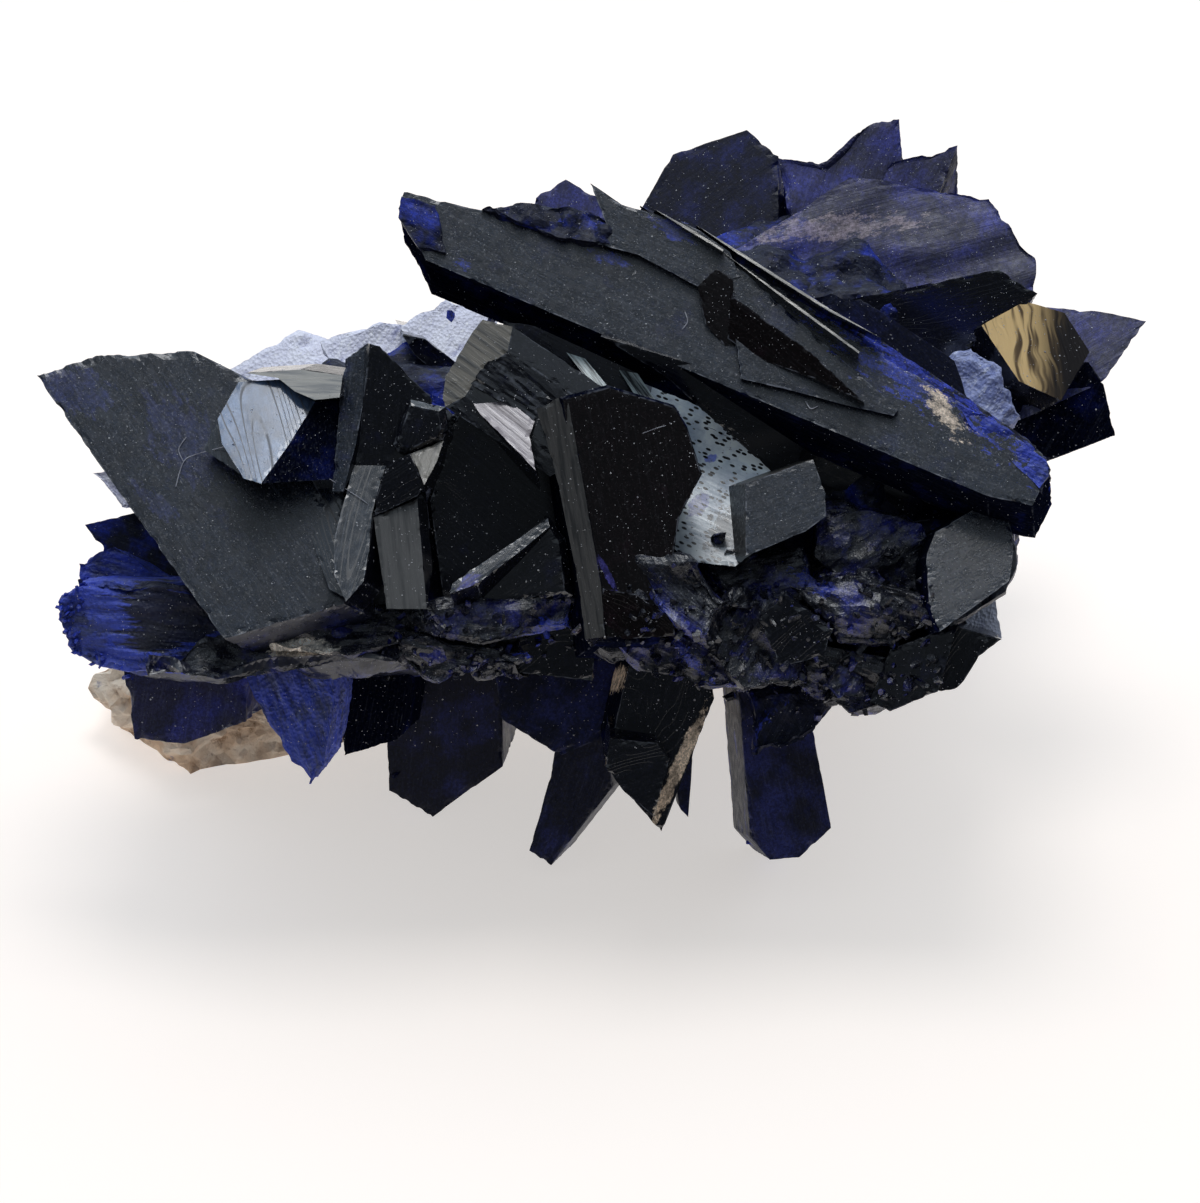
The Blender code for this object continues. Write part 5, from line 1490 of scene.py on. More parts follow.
@dataclass
class MiddleGroup(SubAssembly):
    """The upright prisms and blades in the hollow between the tablet and the long blade."""

    name: str = "middle_group"
    first_seed: int = 400

    def crystals(self) -> dict[str, Crystal]:
        """The upright crystals.

        Returns:
            The crystals by name.
        """
        return {
            # Its front face carries painted reflection: a strong pale blue coat.
            "bright_prism": Crystal(
                ((-14.5, 8.8), (-12.9, 8.9), (-11.4, 8.0), (-12.4, 6.3), (-13.5, 4.7), (-14.2, 4.9),
                 (-15.1, 6.3), (-15.3, 7.3)),
                1.3, (0.1, -0.6), (4.6, 0.3, -2.0), look=Look.BRIGHT, side=Look.DUSK, strike=101.0,
                wear=0.015),
            "bright_flank": Crystal(
                ((-15.9, 6.1), (-15.3, 7.25), (-14.7, 5.8), (-14.4, 5.1)),
                1.0, (0.4, -0.4), (1.0, -0.2, -1.6), look=Look.FAN, side=Look.GLOSS, strike=101.0, wear=0.02),
            "buff_plate": Crystal(
                ((-14.2, 9.15), (-12.0, 9.3), (-10.3, 9.05), (-10.4, 8.15), (-11.4, 8.05), (-12.2, 8.4),
                 (-12.9, 8.95)),
                0.9, (0.05, -1.1), (0.6, 0.3, -2.6), look=Look.TAN, side=Look.GLOSS, strike=-2.0, wear=0.02),
            "fin_strip": Crystal(
                ((-10.2, 9.7), (-9.3, 10.35), (-9.1, 10.0), (-9.75, 6.3), (-10.25, 4.4), (-10.7, 4.4),
                 (-10.4, 8.3)),
                1.15, (0.5, -0.25), (0.7, -0.3, -2.6), look=Look.SLATE, side=Look.GLOSS, strike=82.0),
            # Painted reflection: this facet's pale rosy colour stands in for a bright reflection.
            "pink_facet": Crystal(
                ((-5.5, 8.6), (-4.6, 8.5), (-3.5, 7.9), (-2.6, 7.2), (-2.8, 6.6), (-2.55, 5.2), (-3.7, 6.4),
                 (-4.8, 7.5)),
                1.5, (0.05, -0.52), (0.2, -0.8, -2.4), look=Look.ROSE_SHEEN, side=Look.GLOSS, strike=-40.0),
            "fin": Crystal(
                ((-9.2, 10.3), (-8.8, 10.2), (-6.7, 8.1), (-7.4, 4.0), (-9.0, 0.8), (-10.2, 0.6),
                 (-9.9, 4.5)),
                1.0, (-0.1, 0.1), (-0.9, -0.6, -3.0), look=Look.GLOSS, side=Look.SLATE, strike=84.0),
            "glassy_blade": Crystal(
                ((-9.2, 6.9), (-8.3, 7.3), (-7.9, 7.3), (-8.4, 5.9), (-8.8, 4.7), (-9.1, 3.5), (-9.2, 2.0),
                 (-9.4, 0.8), (-10.1, 0.0), (-10.6, 1.1), (-10.6, 2.5), (-10.2, 4.1), (-9.8, 5.6)),
                1.7, (-0.1, -0.44), (0.6, -0.4, -2.2), look=Look.FAN, side=Look.GLOSS, strike=78.0),
            "glassy_root": Crystal(
                ((-12.1, 4.6), (-10.4, 4.5), (-10.2, 4.1), (-10.6, 2.5), (-10.5, 1.1), (-10.1, 0.1),
                 (-10.8, 0.5), (-11.4, 2.1)),
                1.35, (0.2, -0.4), (0.8, -0.4, -2.2), look=Look.FAN, side=Look.GLOSS, strike=-72.0),
            "knob": Crystal(
                ((-7.6, 8.1), (-6.2, 7.8), (-6.1, 6.9), (-6.3, 6.5), (-7.6, 5.9), (-8.1, 6.0), (-8.3, 6.3),
                 (-7.9, 7.4)),
                1.9, (0.0, 0.1), (0.4, -0.4, -3.0), 0.25, look=Look.GLOSS),
            "knob_facet": Crystal(
                ((-7.55, 5.9), (-6.25, 6.45), (-6.5, 5.6), (-7.0, 4.65)),
                1.9, (0.1, -0.5), (0.3, -0.2, -2.6), look=Look.TAN, side=Look.GLOSS),
            "column_cap": Crystal(
                ((-8.5, 5.5), (-7.6, 5.9), (-7.0, 4.65), (-7.3, 4.2), (-9.0, 3.4), (-8.95, 4.1)),
                1.95, (0.0, 0.15), (0.35, 0.2, -2.4), look=Look.GLOSS, strike=30.0),
            "column": Crystal(
                ((-9.05, 3.35), (-7.3, 4.1), (-6.9, -0.3), (-8.5, -0.3)),
                2.1, (0.0, -0.25), (0.2, 1.6, -1.9), look=Look.DUN, side=Look.GLOSS, strike=-84.0),
            "black_prism": Crystal(
                ((-6.1, 7.2), (-5.4, 8.2), (-1.4, 5.3), (-1.0, 0.2), (-6.4, -0.4), (-7.0, 4.0)),
                -0.4, (-0.1, 0.1), (0.6, 0.4, -5.0), 0.3, look=Look.GLOSS, strike=-40.0),
            "slanting_blade": Crystal(
                ((-6.0, 0.1), (-5.3, 1.2), (-2.1, 3.5), (-1.4, 2.6), (-1.1, 0.3), (-4.8, -0.4)),
                0.7, (0.1, 0.05), (0.2, -0.6, -2.4), 0.3, look=Look.GLOSS, strike=36.0),
            "bar": Crystal(
                ((-6.0, 0.3), (-5.9, 0.7), (-5.4, 1.1), (-3.2, 2.55), (-2.1, 3.35), (-2.0, 3.0),
                 (-3.2, 2.0), (-4.9, 0.7)),
                1.5, (0.1, -0.47), (0.2, -0.7, -1.6), look=Look.FAN, side=Look.GLOSS, strike=38.0),
            "pitted_prism": Crystal(
                ((-6.3, 8.1), (-6.2, 9.0), (-5.1, 10.8), (-4.7, 11.3), (-3.5, 11.0), (-3.7, 10.0),
                 (-4.8, 9.2), (-5.4, 8.2), (-6.2, 7.8)),
                0.8, (0.25, -0.25), (4.2, -2.8, 0.4), look=Look.TAN, side=Look.GLOSS, strike=-35.0),
            "splinter_face": Crystal(
                ((-4.6, 9.6), (-3.7, 9.85), (-1.7, 8.15), (-2.6, 7.2), (-5.2, 8.7)),
                1.3, (0.0, 0.0), (0.5, -0.8, -2.2), rough=SPLINTERY, look=Look.GLOSS, strike=-38.0),
            "navy_prism": Crystal(
                ((-3.9, 11.3), (-1.5, 10.9), (1.6, 9.6), (1.6, 8.4), (-1.6, 7.4), (-3.9, 9.6)),
                -1.0, (0.1, 0.05), (0.8, -0.8, -4.0), look=Look.NAVY, strike=-30.0),
            # Its speckled face has painted reflection, painted glow and painted light towards its top.
            "mirror_prism": Crystal(
                ((0.2, 10.4), (3.4, 9.4), (7.6, 5.6), (7.0, 2.6), (5.4, 1.4), (3.4, 1.6), (0.6, 5.0)),
                -0.9, (0.1, -0.6), (0.4, -0.6, -4.0), look=Look.SPECKLED, side=Look.GLOSS, strike=-25.0),
            # Painted glints: two narrow faces in pale stripes that stand in for bright glints.
            "stripe_left": Crystal(
                ((-1.35, 10.0), (-0.6, 9.75), (0.45, 8.45), (-0.15, 8.45)), 0.1, (0.05, -0.6),
                (0.2, -0.6, -1.6), look=Look.GLINT_STRIPED, side=Look.GLOSS, strike=-53.0, wear=0.01),
            "stripe_right": Crystal(
                ((0.75, 9.3), (1.5, 9.15), (2.2, 8.1), (1.5, 8.1)), 0.2, (0.05, -0.6), (0.2, -0.6, -1.6),
                look=Look.GLINT_STRIPED, side=Look.GLOSS, strike=-53.0, wear=0.01),
            "centre_prism": Crystal(
                ((-1.6, 8.15), (0.3, 8.65), (3.0, 7.85), (3.5, 7.0), (4.1, 5.1), (3.2, 3.4), (2.9, 1.4),
                 (2.4, -1.6), (0.0, -1.6)),
                2.6, (0.0, 0.04), (-1.2, -0.8, -4.4), 0.12, look=Look.JET, side=Look.DUSK, strike=-80.0,
                wear=0.03),
            "prism_strip": Crystal(
                ((-2.55, 7.65), (-1.55, 8.2), (-1.25, 7.9), (-0.7, 4.9), (0.05, 0.6), (0.2, -1.4),
                 (-0.6, -1.5), (-0.85, 0.6), (-1.65, 4.6), (-2.2, 6.6)),
                2.66, (0.4, 0.04), (0.3, -0.4, -2.0), look=Look.DUN, side=Look.GLOSS, strike=-80.0),
            "block": Crystal(
                ((5.8, 4.7), (8.5, 5.7), (9.0, 4.3), (9.0, 3.4), (8.2, 2.8), (5.8, 1.8)),
                2.2, (0.0, -0.3), (-0.9, -0.1, -3.4), look=Look.SLATE, side=Look.DUN, strike=20.0),
        }


@dataclass
class FrontRim(SubAssembly):
    """The hackly front rim, from the foot of the tablet to the right-hand block."""

    name: str = "front_rim"
    first_seed: int = 500

    line: tuple[Point3, ...] = (
        (-6.5, -1.6, 0.9), (-3.6, -2.2, 0.6), (2.8, -2.6, 0.6), (5.0, -0.6, 1.5), (7.0, -2.0, 1.2),
        (9.6, -2.6, 1.2), (11.6, -3.2, 0.8), (10.4, 1.4, 1.2), (12.6, 1.0, 1.0), (4.6, 2.2, 1.2),
    )
    small_count: int = 20
    small_seed: int = 41
    small_size: Point2 = (0.5, 1.15)
    small_shift: float = 0.9
    small_slant: float = 0.9
    small_depth: float = 2.6

    def small(self) -> dict[str, Crystal]:
        """The small stout crystals along the rim.

        Returns:
            The crystals by name.
        """
        chance = random.Random(self.small_seed)
        found = {}
        for i in range(self.small_count):
            across, up, out = self.line[i % len(self.line)]
            across += chance.uniform(-self.small_shift, self.small_shift)
            up += chance.uniform(-self.small_shift, self.small_shift)
            size = chance.uniform(*self.small_size)
            first = chance.uniform(0.0, math.tau)
            turns = [first + math.tau * (k + chance.uniform(-0.3, 0.3)) / 5 for k in range(5)]
            outline = tuple(
                (across + size * math.cos(turn), up + 0.7 * size * math.sin(turn)) for turn in turns)
            lean = (
                chance.uniform(-self.small_slant, self.small_slant),
                chance.uniform(-self.small_slant, self.small_slant))
            run = (chance.uniform(-0.6, 0.6), chance.uniform(-0.2, 0.7), -self.small_depth)
            found[f"small_{i:02d}"] = Crystal(
                outline, out, lean, run, rough=HACKLY, look=Look.DRUSE, strike=math.degrees(first), wear=0.08)
        return found

    def crystals(self) -> dict[str, Crystal]:
        """The rim's crystals.

        Returns:
            The crystals by name.
        """
        found = {
            "tablet_foot": Crystal(
                ((-13.2, -0.6), (-10.2, 0.3), (-7.2, 0.3), (-6.8, -1.6), (-10.0, -2.3), (-13.6, -2.1)), 0.6,
                (0.0, -0.4), (0.4, -0.2, -3.0), 0.2, rough=HACKLY, look=Look.DRUSE, strike=5.0, wear=0.15),
            "hollow_floor": Crystal(
                ((-7.2, 0.2), (-3.2, 0.3), (-0.8, 0.4), (-1.0, -1.2), (-4.8, -2.0), (-7.0, -1.6)), 0.8,
                (0.0, -0.35), (0.2, -0.2, -3.2), 0.2, rough=HACKLY, look=Look.DRUSE, strike=8.0, wear=0.15),
            "lip": Crystal(
                ((-8.2, -1.4), (-4.2, -1.6), (-2.8, -2.3), (-4.8, -2.9), (-6.8, -3.4), (-8.0, -2.6)), 0.7,
                (0.0, 0.2), (0.2, 0.5, -3.0), 0.2, rough=HACKLY, look=Look.DRUSE, strike=-10.0, wear=0.15),
            "maroon_facet": Crystal(
                ((-4.2, -1.2), (-1.2, -0.6), (-0.2, -1.8), (-0.3, -3.2), (-4.0, -2.8)),
                -1.2, (0.0, 0.15), (0.2, 0.5, -3.4), look=Look.GLOSS, strike=20.0),
            "prism_foot": Crystal(
                ((-0.8, -1.6), (-0.5, 0.6), (2.6, 0.5), (2.9, -1.5), (0.6, -2.4)), 1.2, (0.1, 0.1),
                (0.0, 0.2, -3.4), 0.25, rough=HACKLY, look=Look.DRUSE, strike=-70.0, wear=0.12),
            "brown_facet": Crystal(
                ((0.1, 0.5), (1.4, 0.3), (2.9, -0.7), (3.0, -1.4), (0.9, -1.5), (0.1, -0.8)),
                2.85, (0.0, 0.2), (0.1, 0.3, -3.2), look=Look.JET, strike=-30.0, wear=0.06),
            "druse_slope": Crystal(
                ((0.6, 2.2), (3.6, 1.9), (5.6, 0.0), (4.2, -1.6), (2.2, -0.4), (1.2, 0.8)), 2.7,
                (-0.05, -0.25), (0.2, -0.2, -4.3), 0.2, rough=HACKLY, look=Look.DRUSE, strike=-40.0,
                wear=0.15),
            "druse_toe": Crystal(
                ((0.2, -1.3), (4.0, -1.2), (5.8, -2.6), (5.7, -3.7), (3.8, -3.5), (1.6, -2.7)), 0.7,
                (0.0, 0.2), (0.1, 0.5, -3.4), 0.3, rough=HACKLY, look=Look.DRUSE, strike=-30.0, wear=0.15),
            "druse_mid": Crystal(
                ((3.9, -0.1), (6.8, 0.7), (9.0, -1.1), (8.3, -3.4), (5.7, -3.9), (4.0, -2.3)), 1.4,
                (0.0, -0.1), (0.0, 0.3, -4.0), 0.35, rough=HACKLY, look=Look.DRUSE, strike=60.0, wear=0.18),
            "umber_facet": Crystal(
                ((6.3, -0.7), (7.4, 0.3), (9.3, -1.1), (8.9, -2.2), (7.2, -2.6)),
                2.1, (0.1, 0.15), (0.1, 0.3, -2.6), look=Look.GLOSS, strike=40.0, wear=0.1),
            "druse_saddle": Crystal(
                ((3.6, 1.9), (5.4, 1.9), (8.0, 2.2), (9.3, 0.2), (6.8, -0.4), (4.8, 0.0)), 1.0, (0.0, -0.2),
                (0.0, -0.2, -3.4), 0.2, rough=HACKLY, look=Look.DRUSE, strike=10.0, wear=0.15),
            "druse_shell": Crystal(
                ((7.5, 0.6), (9.8, 1.3), (13.0, 0.7), (13.7, -1.2), (11.8, -2.2), (9.5, -1.8)), 2.0,
                (0.0, 0.02), (0.1, 0.2, -4.0), 0.3, rough=HACKLY, look=Look.DRUSE, strike=-20.0, wear=0.18),
            "druse_keel": Crystal(
                ((7.9, -1.5), (11.6, -2.0), (13.7, -1.9), (13.3, -3.5), (11.6, -4.4), (10.0, -4.8),
                 (8.0, -4.0)),
                0.8, (0.0, 0.2), (0.0, 0.6, -4.0), 0.25, rough=HACKLY, look=Look.DRUSE, strike=-15.0,
                wear=0.15),
            "dark_hollow": Crystal(
                ((8.8, 4.0), (12.4, 3.6), (13.6, 2.0), (13.3, 0.0), (10.2, 0.3), (8.6, 1.8)),
                0.3, (0.0, -0.1), (0.0, 0.2, -4.0), rough=HACKLY, look=Look.DRUSE, strike=30.0, wear=0.15),
            "right_block": Crystal(
                ((13.4, 2.8), (15.5, 4.0), (16.4, 3.5), (16.5, 2.0), (16.3, 0.8), (13.5, -1.2),
                 (13.1, -0.2), (13.0, 1.8)),
                2.3, (0.0, -0.4), (-0.7, -0.3, -4.4), look=Look.SLATE, side=Look.DUSK, strike=30.0,
                wear=0.07),
            "block_fringe": Crystal(
                ((13.8, -1.3), (16.3, 0.3), (16.8, 1.4), (16.7, 3.3), (14.6, 3.4)),
                1.0, (0.0, -0.2), (-0.6, -0.2, -2.6), 0.2, look=Look.NAVY, wear=0.12),
            "block_spike": Crystal(
                ((16.0, 3.4), (17.0, 2.9), (16.4, 2.4), (15.4, 2.6)),
                -0.4, (0.0, 0.0), (-0.8, 0.0, -2.2), look=Look.NAVY),
            "right_toe": Crystal(
                ((13.6, -0.8), (16.1, -1.5), (15.2, -2.2), (14.4, -3.5), (13.0, -3.7), (12.8, -2.0)),
                0.0, (0.1, 0.1), (-0.4, 0.5, -3.6), look=Look.GLOSS, strike=60.0, wear=0.1),
            "right_plate": Crystal(
                ((11.6, -1.9), (14.3, -0.9), (13.5, -3.6), (11.6, -4.4), (10.8, -4.0)),
                1.2, (0.3, 0.0), (-0.1, 0.3, -3.0), look=Look.GLOSS, strike=70.0, wear=0.08),
            "pale_facet": Crystal(
                ((14.4, 0.2), (15.9, 0.3), (16.2, -1.5), (14.8, -1.2)),
                -2.2, (0.0, -0.4), (-0.8, 0.4, -3.0), rough=SHEETED, look=Look.PALE, strike=80.0),
        }
        found.update(self.small())
        return found


@dataclass
class RearFan(SubAssembly):
    """The fan of plates behind the long blade, out to the right."""

    name: str = "rear_fan"
    first_seed: int = 600

    def crystals(self) -> dict[str, Crystal]:
        """The fan's crystals.

        Returns:
            The crystals by name.
        """
        return {
            "shoulder": Crystal(
                ((1.7, 16.3), (3.0, 18.6), (6.1, 19.6), (7.4, 18.5), (7.4, 15.6), (4.0, 14.0)),
                -14.0, (0.15, -0.3), (1.6, -4.0, -3.4), look=Look.SHADE, strike=35.0, wear=0.12),
            "crown": Crystal(
                ((7.3, 18.4), (9.3, 18.4), (10.5, 19.6), (12.4, 20.0), (12.6, 18.6), (11.5, 15.6),
                 (8.0, 15.0)),
                -13.0, (0.0, -0.2), (0.8, -4.0, -3.0), rough=SHEETED, look=Look.SAIL, strike=70.0, wear=0.15),
            "crown_tooth": Crystal(
                ((11.8, 18.2), (14.8, 18.9), (14.1, 17.0), (13.0, 14.6), (10.5, 15.2)), -12.4, (0.05, -0.2),
                (0.4, -4.0, -2.6), rough=SHEETED, look=Look.SAIL, strike=60.0, wear=0.15),
            "sail": Crystal(
                ((4.9, 14.0), (10.3, 17.6), (14.0, 17.2), (16.1, 16.7), (17.1, 15.2), (18.0, 14.2),
                 (17.9, 12.8), (14.0, 11.0), (9.0, 10.4)),
                -10.6, (0.05, -0.35), (-0.6, -2.4, -4.4), rough=SHEETED, look=Look.SAIL, strike=15.0,
                wear=0.15),
            "black_bar": Crystal(
                ((10.4, 12.4), (16.3, 13.6), (17.9, 12.6), (16.2, 11.0), (13.4, 9.4), (10.4, 9.6)),
                -8.6, (0.1, 0.15), (-0.8, -1.6, -4.0), look=Look.GLOSS, strike=10.0, wear=0.08),
            # Its front face is the painted straw-gold reflection.
            "banded_prism": Crystal(
                ((15.6, 11.3), (17.4, 12.3), (19.0, 11.8), (20.0, 10.2), (18.8, 8.2), (17.1, 9.0)), -7.6,
                (0.1, -0.3), (-2.8, -1.6, -4.0), look=Look.BANDED, side=Look.GLOSS, strike=98.0, wear=0.02),
            "right_star": Crystal(
                ((17.0, 12.2), (20.6, 11.9), (22.4, 11.5), (20.6, 9.0), (17.6, 7.6)),
                -8.8, (0.05, -0.4), (-3.6, -1.6, -3.4), look=Look.SAIL, strike=30.0, wear=0.08),
            "right_star_foot": Crystal(
                ((16.4, 9.8), (20.0, 9.8), (20.6, 8.9), (21.1, 6.8), (18.5, 5.8), (15.6, 6.8)),
                -8.2, (0.0, 0.1), (-3.0, -1.0, -3.8), look=Look.DUSK, strike=60.0, wear=0.08),
            "pale_rough": Crystal(
                ((13.0, 9.6), (15.2, 10.6), (16.4, 9.6), (17.3, 7.6), (16.0, 6.8), (13.2, 7.4)), -5.0,
                (0.0, -0.3), (-1.2, -1.4, -3.6), 0.3, rough=CRUSTY, look=Look.FROST, strike=50.0, wear=0.2),
            "hidden_bar": Crystal(
                ((7.0, 11.6), (10.6, 12.3), (14.4, 9.8), (15.0, 8.0), (14.0, 3.6), (9.0, 5.0)),
                -5.0, (0.05, 0.0), (-1.6, -0.8, -5.0), look=Look.SHADE, strike=-40.0),
            "blue_tip": Crystal(
                ((-2.8, 16.6), (-1.4, 17.3), (0.2, 16.4), (0.9, 12.0), (-2.4, 12.0)),
                -8.4, (0.0, -0.2), (0.6, -5.6, -4.8), look=Look.SAIL, strike=80.0, wear=0.15),
        }


@dataclass
class RearLeft(SubAssembly):
    """The pale blades at the back on the left."""

    name: str = "rear_left"
    first_seed: int = 700

    def crystals(self) -> dict[str, Crystal]:
        """The blades.

        Returns:
            The crystals by name.
        """
        return {
            "outer": Crystal(
                ((-15.6, 9.6), (-12.6, 11.3), (-10.6, 10.8), (-10.2, 7.0), (-14.5, 6.6)),
                -16.0, (0.0, -0.4), (1.8, -3.6, 3.0), rough=SHEETED, look=Look.PALE, strike=30.0, wear=0.15),
            "middle": Crystal(
                ((-11.6, 10.8), (-9.2, 11.8), (-7.4, 11.6), (-6.8, 7.6), (-11.0, 7.0)),
                -14.6, (0.05, -0.3), (1.4, -3.8, 3.0), rough=SHEETED, look=Look.PALE, strike=50.0, wear=0.15),
            "inner": Crystal(
                ((-8.2, 11.4), (-6.4, 12.6), (-4.2, 12.0), (-3.6, 8.0), (-8.0, 7.6)), -13.0, (-0.05, -0.3),
                (1.0, -4.0, 2.6), rough=SHEETED, look=Look.PALE, strike=60.0, wear=0.15),
            "low": Crystal(
                ((-17.6, 7.4), (-14.4, 8.6), (-12.0, 6.0), (-14.0, 3.0), (-17.2, 4.0)),
                -12.0, (0.1, -0.3), (2.6, -2.4, 1.6), look=Look.NAVY, strike=20.0, wear=0.12),
        }


@dataclass
class BackSpray(SubAssembly):
    """The spray of blades over the back, which point away from the viewer."""

    name: str = "back_spray"
    first_seed: int = 800
    fineness: float = 2.5

    rows: tuple[tuple[float, float, float, float, float, int], ...] = (
        (-0.8, -9.0, -14.0, 12.0, 0.5, 9),
        (2.6, -10.0, -14.0, 13.0, 0.4, 9),
        (6.0, -11.0, -12.0, 14.0, 0.2, 9),
        (8.8, -12.0, -6.0, 14.0, 0.0, 7),
        (11.6, -13.0, 3.0, 12.0, -0.1, 5),
    )
    seed: int = 23
    length: Point2 = (8.6, 12.8)
    width: Point2 = (1.3, 2.8)
    thickness: Point2 = (0.4, 0.9)
    shift: float = 0.9
    flare: float = 0.022
    slant: float = 0.7

    def blade(self, across: float, up: float, out: float, rise: float, chance: random.Random) -> Crystal:
        """One blade, six-sided in section.

        Args:
            across: where it roots.
            up: where it roots.
            out: where it roots.
            rise: how much it rises as it runs back.
            chance: the random numbers.

        Returns:
            The crystal.
        """
        across += chance.uniform(-self.shift, self.shift)
        up += chance.uniform(-self.shift, self.shift)
        long = chance.uniform(*self.length)
        wide = chance.uniform(*self.width)
        thick = chance.uniform(*self.thickness)
        turn = Matrix.Rotation(chance.uniform(0.0, math.pi), 2)
        section = ((-1.0, 0.0), (-0.7, -1.0), (0.7, -1.0), (1.0, 0.0), (0.7, 1.0), (-0.7, 1.0))
        corners = [turn @ Vector((x * wide, y * thick)) for x, y in section]
        outline = tuple((across + corner.x, up + corner.y) for corner in corners)
        run = Vector(
            (across * self.flare + chance.uniform(-0.25, 0.25), rise + chance.uniform(-0.15, 0.15), -1.0))
        run = run.normalized() * long
        lean = (chance.uniform(-self.slant, self.slant), chance.uniform(-self.slant, self.slant))
        return Crystal(outline, out, lean, tuple(run), 0.0, chance.uniform(0.4, 0.85))

    def crystals(self) -> dict[str, Crystal]:
        """The blades.

        Returns:
            The crystals by name.
        """
        chance = random.Random(self.seed)
        found = {}
        finishes = (Look.NAVY, Look.SLATE, Look.NAVY, Look.GLOSS, Look.NAVY, Look.ETCHED)
        for up, out, first, last, rise, count in self.rows:
            for i in range(count):
                blade = self.blade(first + (last - first) * i / (count - 1), up, out, rise, chance)
                look = finishes[len(found) % len(finishes)]
                strike = math.degrees(math.atan2(blade.body[1], blade.body[0]))
                found[f"spray_{len(found):02d}"] = Crystal(
                    blade.outline, blade.out, blade.lean, blade.body, 0.0, blade.taper, look, look, strike,
                    0.07)
        return found


@dataclass
class Heart:
    """The rough lumps of intergrown azurite that every crystal is rooted in."""

    name: str = "heart"
    cores: tuple[tuple[Point3, Point3], ...] = (
        ((-12.5, 1.2, -7.0), (6.6, 4.0, 4.8)),
        ((-5.0, 2.2, -7.4), (7.4, 4.8, 5.6)),
        ((3.6, 2.6, -7.0), (8.0, 5.4, 5.8)),
        ((10.6, 3.6, -6.4), (6.6, 5.0, 5.4)),
        ((8.6, 10.4, -13.2), (8.0, 5.0, 4.6)),
        ((-6.4, 5.6, -13.4), (9.0, 4.6, 4.6)),
        ((3.0, 5.4, -15.0), (9.0, 5.2, 4.6)),
    )
    levels: int = 6
    hackle: float = 0.5

    def cut(self) -> Faceted:
        """Builds the lumps.

        Returns:
            The triangles.
        """
        found = Faceted()
        shape = bmesh.new()
        bmesh.ops.create_icosphere(shape, subdivisions=self.levels, radius=1.0)
        unit = np.array([vert.co[:] for vert in shape.verts])
        triangles = np.array([[vert.index for vert in face.verts] for face in shape.faces])
        shape.free()
        for number, (centre, radii) in enumerate(self.cores):
            points = unit * np.array(radii)
            rise, border, tone = HACKLY.relief(points, 0.6 * number, 31 + number)
            fine, _, _ = CRUSTY.relief(points, 0.6 * number, 51 + number)
            points = points + unit * (self.hackle * (3.0 * rise + fine))[:, None]
            looks = np.full(len(triangles), LOOKS.index(Look.CRUST))
            found.take(points + np.array(centre), triangles, looks, tone[triangles[:, 0]],
                       points + 9.1 * number, border + 0.03)
        return found


# ---------------------------------------------------------------- what grows and lies on the crystals


class Surface:
    """The crystals' surface, for placing what grows or lies on it. FAR is how far outside a ray starts."""

    FAR = 40.0

    def __init__(self, parts: list[Faceted]) -> None:
        """Gathers the triangles.

        Args:
            parts: the sub-assemblies.
        """
        points, triangles, count = [], [], 0
        for part in parts:
            points.append(np.concatenate(part.points))
            triangles.append(np.concatenate(part.triangles) + count)
            count += len(points[-1])
        self.tree = BVHTree.FromPolygons(np.concatenate(points).tolist(), np.concatenate(triangles).tolist())

    def seen_from_front(self, across: float, up: float) -> tuple[Vector, Vector] | None:
        """The surface behind a point of the display view.

        Args:
            across: the point.
            up: the point.

        Returns:
            The place and its normal, or None where there is nothing.
        """
        place, normal, _, _ = self.tree.ray_cast(Vector((across, up, self.FAR)), Vector((0.0, 0.0, -1.0)))
        if place is None:
            return None
        return place, normal if normal.z > 0.0 else -normal

    def seen_along(self, start: Vector, way: Vector) -> tuple[Vector, Vector] | None:
        """The first surface along a ray.

        Args:
            start: where the ray starts.
            way: where it goes.

        Returns:
            The place and its normal, or None where there is nothing.
        """
        place, normal, _, _ = self.tree.ray_cast(start, way)
        if place is None:
            return None
        return place, normal if normal.dot(way) < 0.0 else -normal


@dataclass(frozen=True)
class Patch:
    """A patch of tiny crystals: its outline in the display view, how many, how large, and their finish."""

    outline: tuple[Point2, ...]
    count: int
    size: Point2
    look: Look

    def inside(self, across: float, up: float) -> bool:
        """Whether a point is in the outline.

        Args:
            across: the point.
            up: the point.

        Returns:
            True inside.
        """
        hit = False
        before = self.outline[-1]
        for corner in self.outline:
            if (corner[1] > up) != (before[1] > up):
                cross = corner[0] + (up - corner[1]) * (before[0] - corner[0]) / (before[1] - corner[1])
                hit ^= across < cross
            before = corner
        return hit

    def points(self, chance: random.Random) -> list[Point2]:
        """Random points in the outline.

        Args:
            chance: the random numbers.

        Returns:
            The points.
        """
        low = [min(corner[k] for corner in self.outline) for k in (0, 1)]
        high = [max(corner[k] for corner in self.outline) for k in (0, 1)]
        found = []
        while len(found) < self.count:
            point = (chance.uniform(low[0], high[0]), chance.uniform(low[1], high[1]))
            if self.inside(*point):
                found.append(point)
        return found


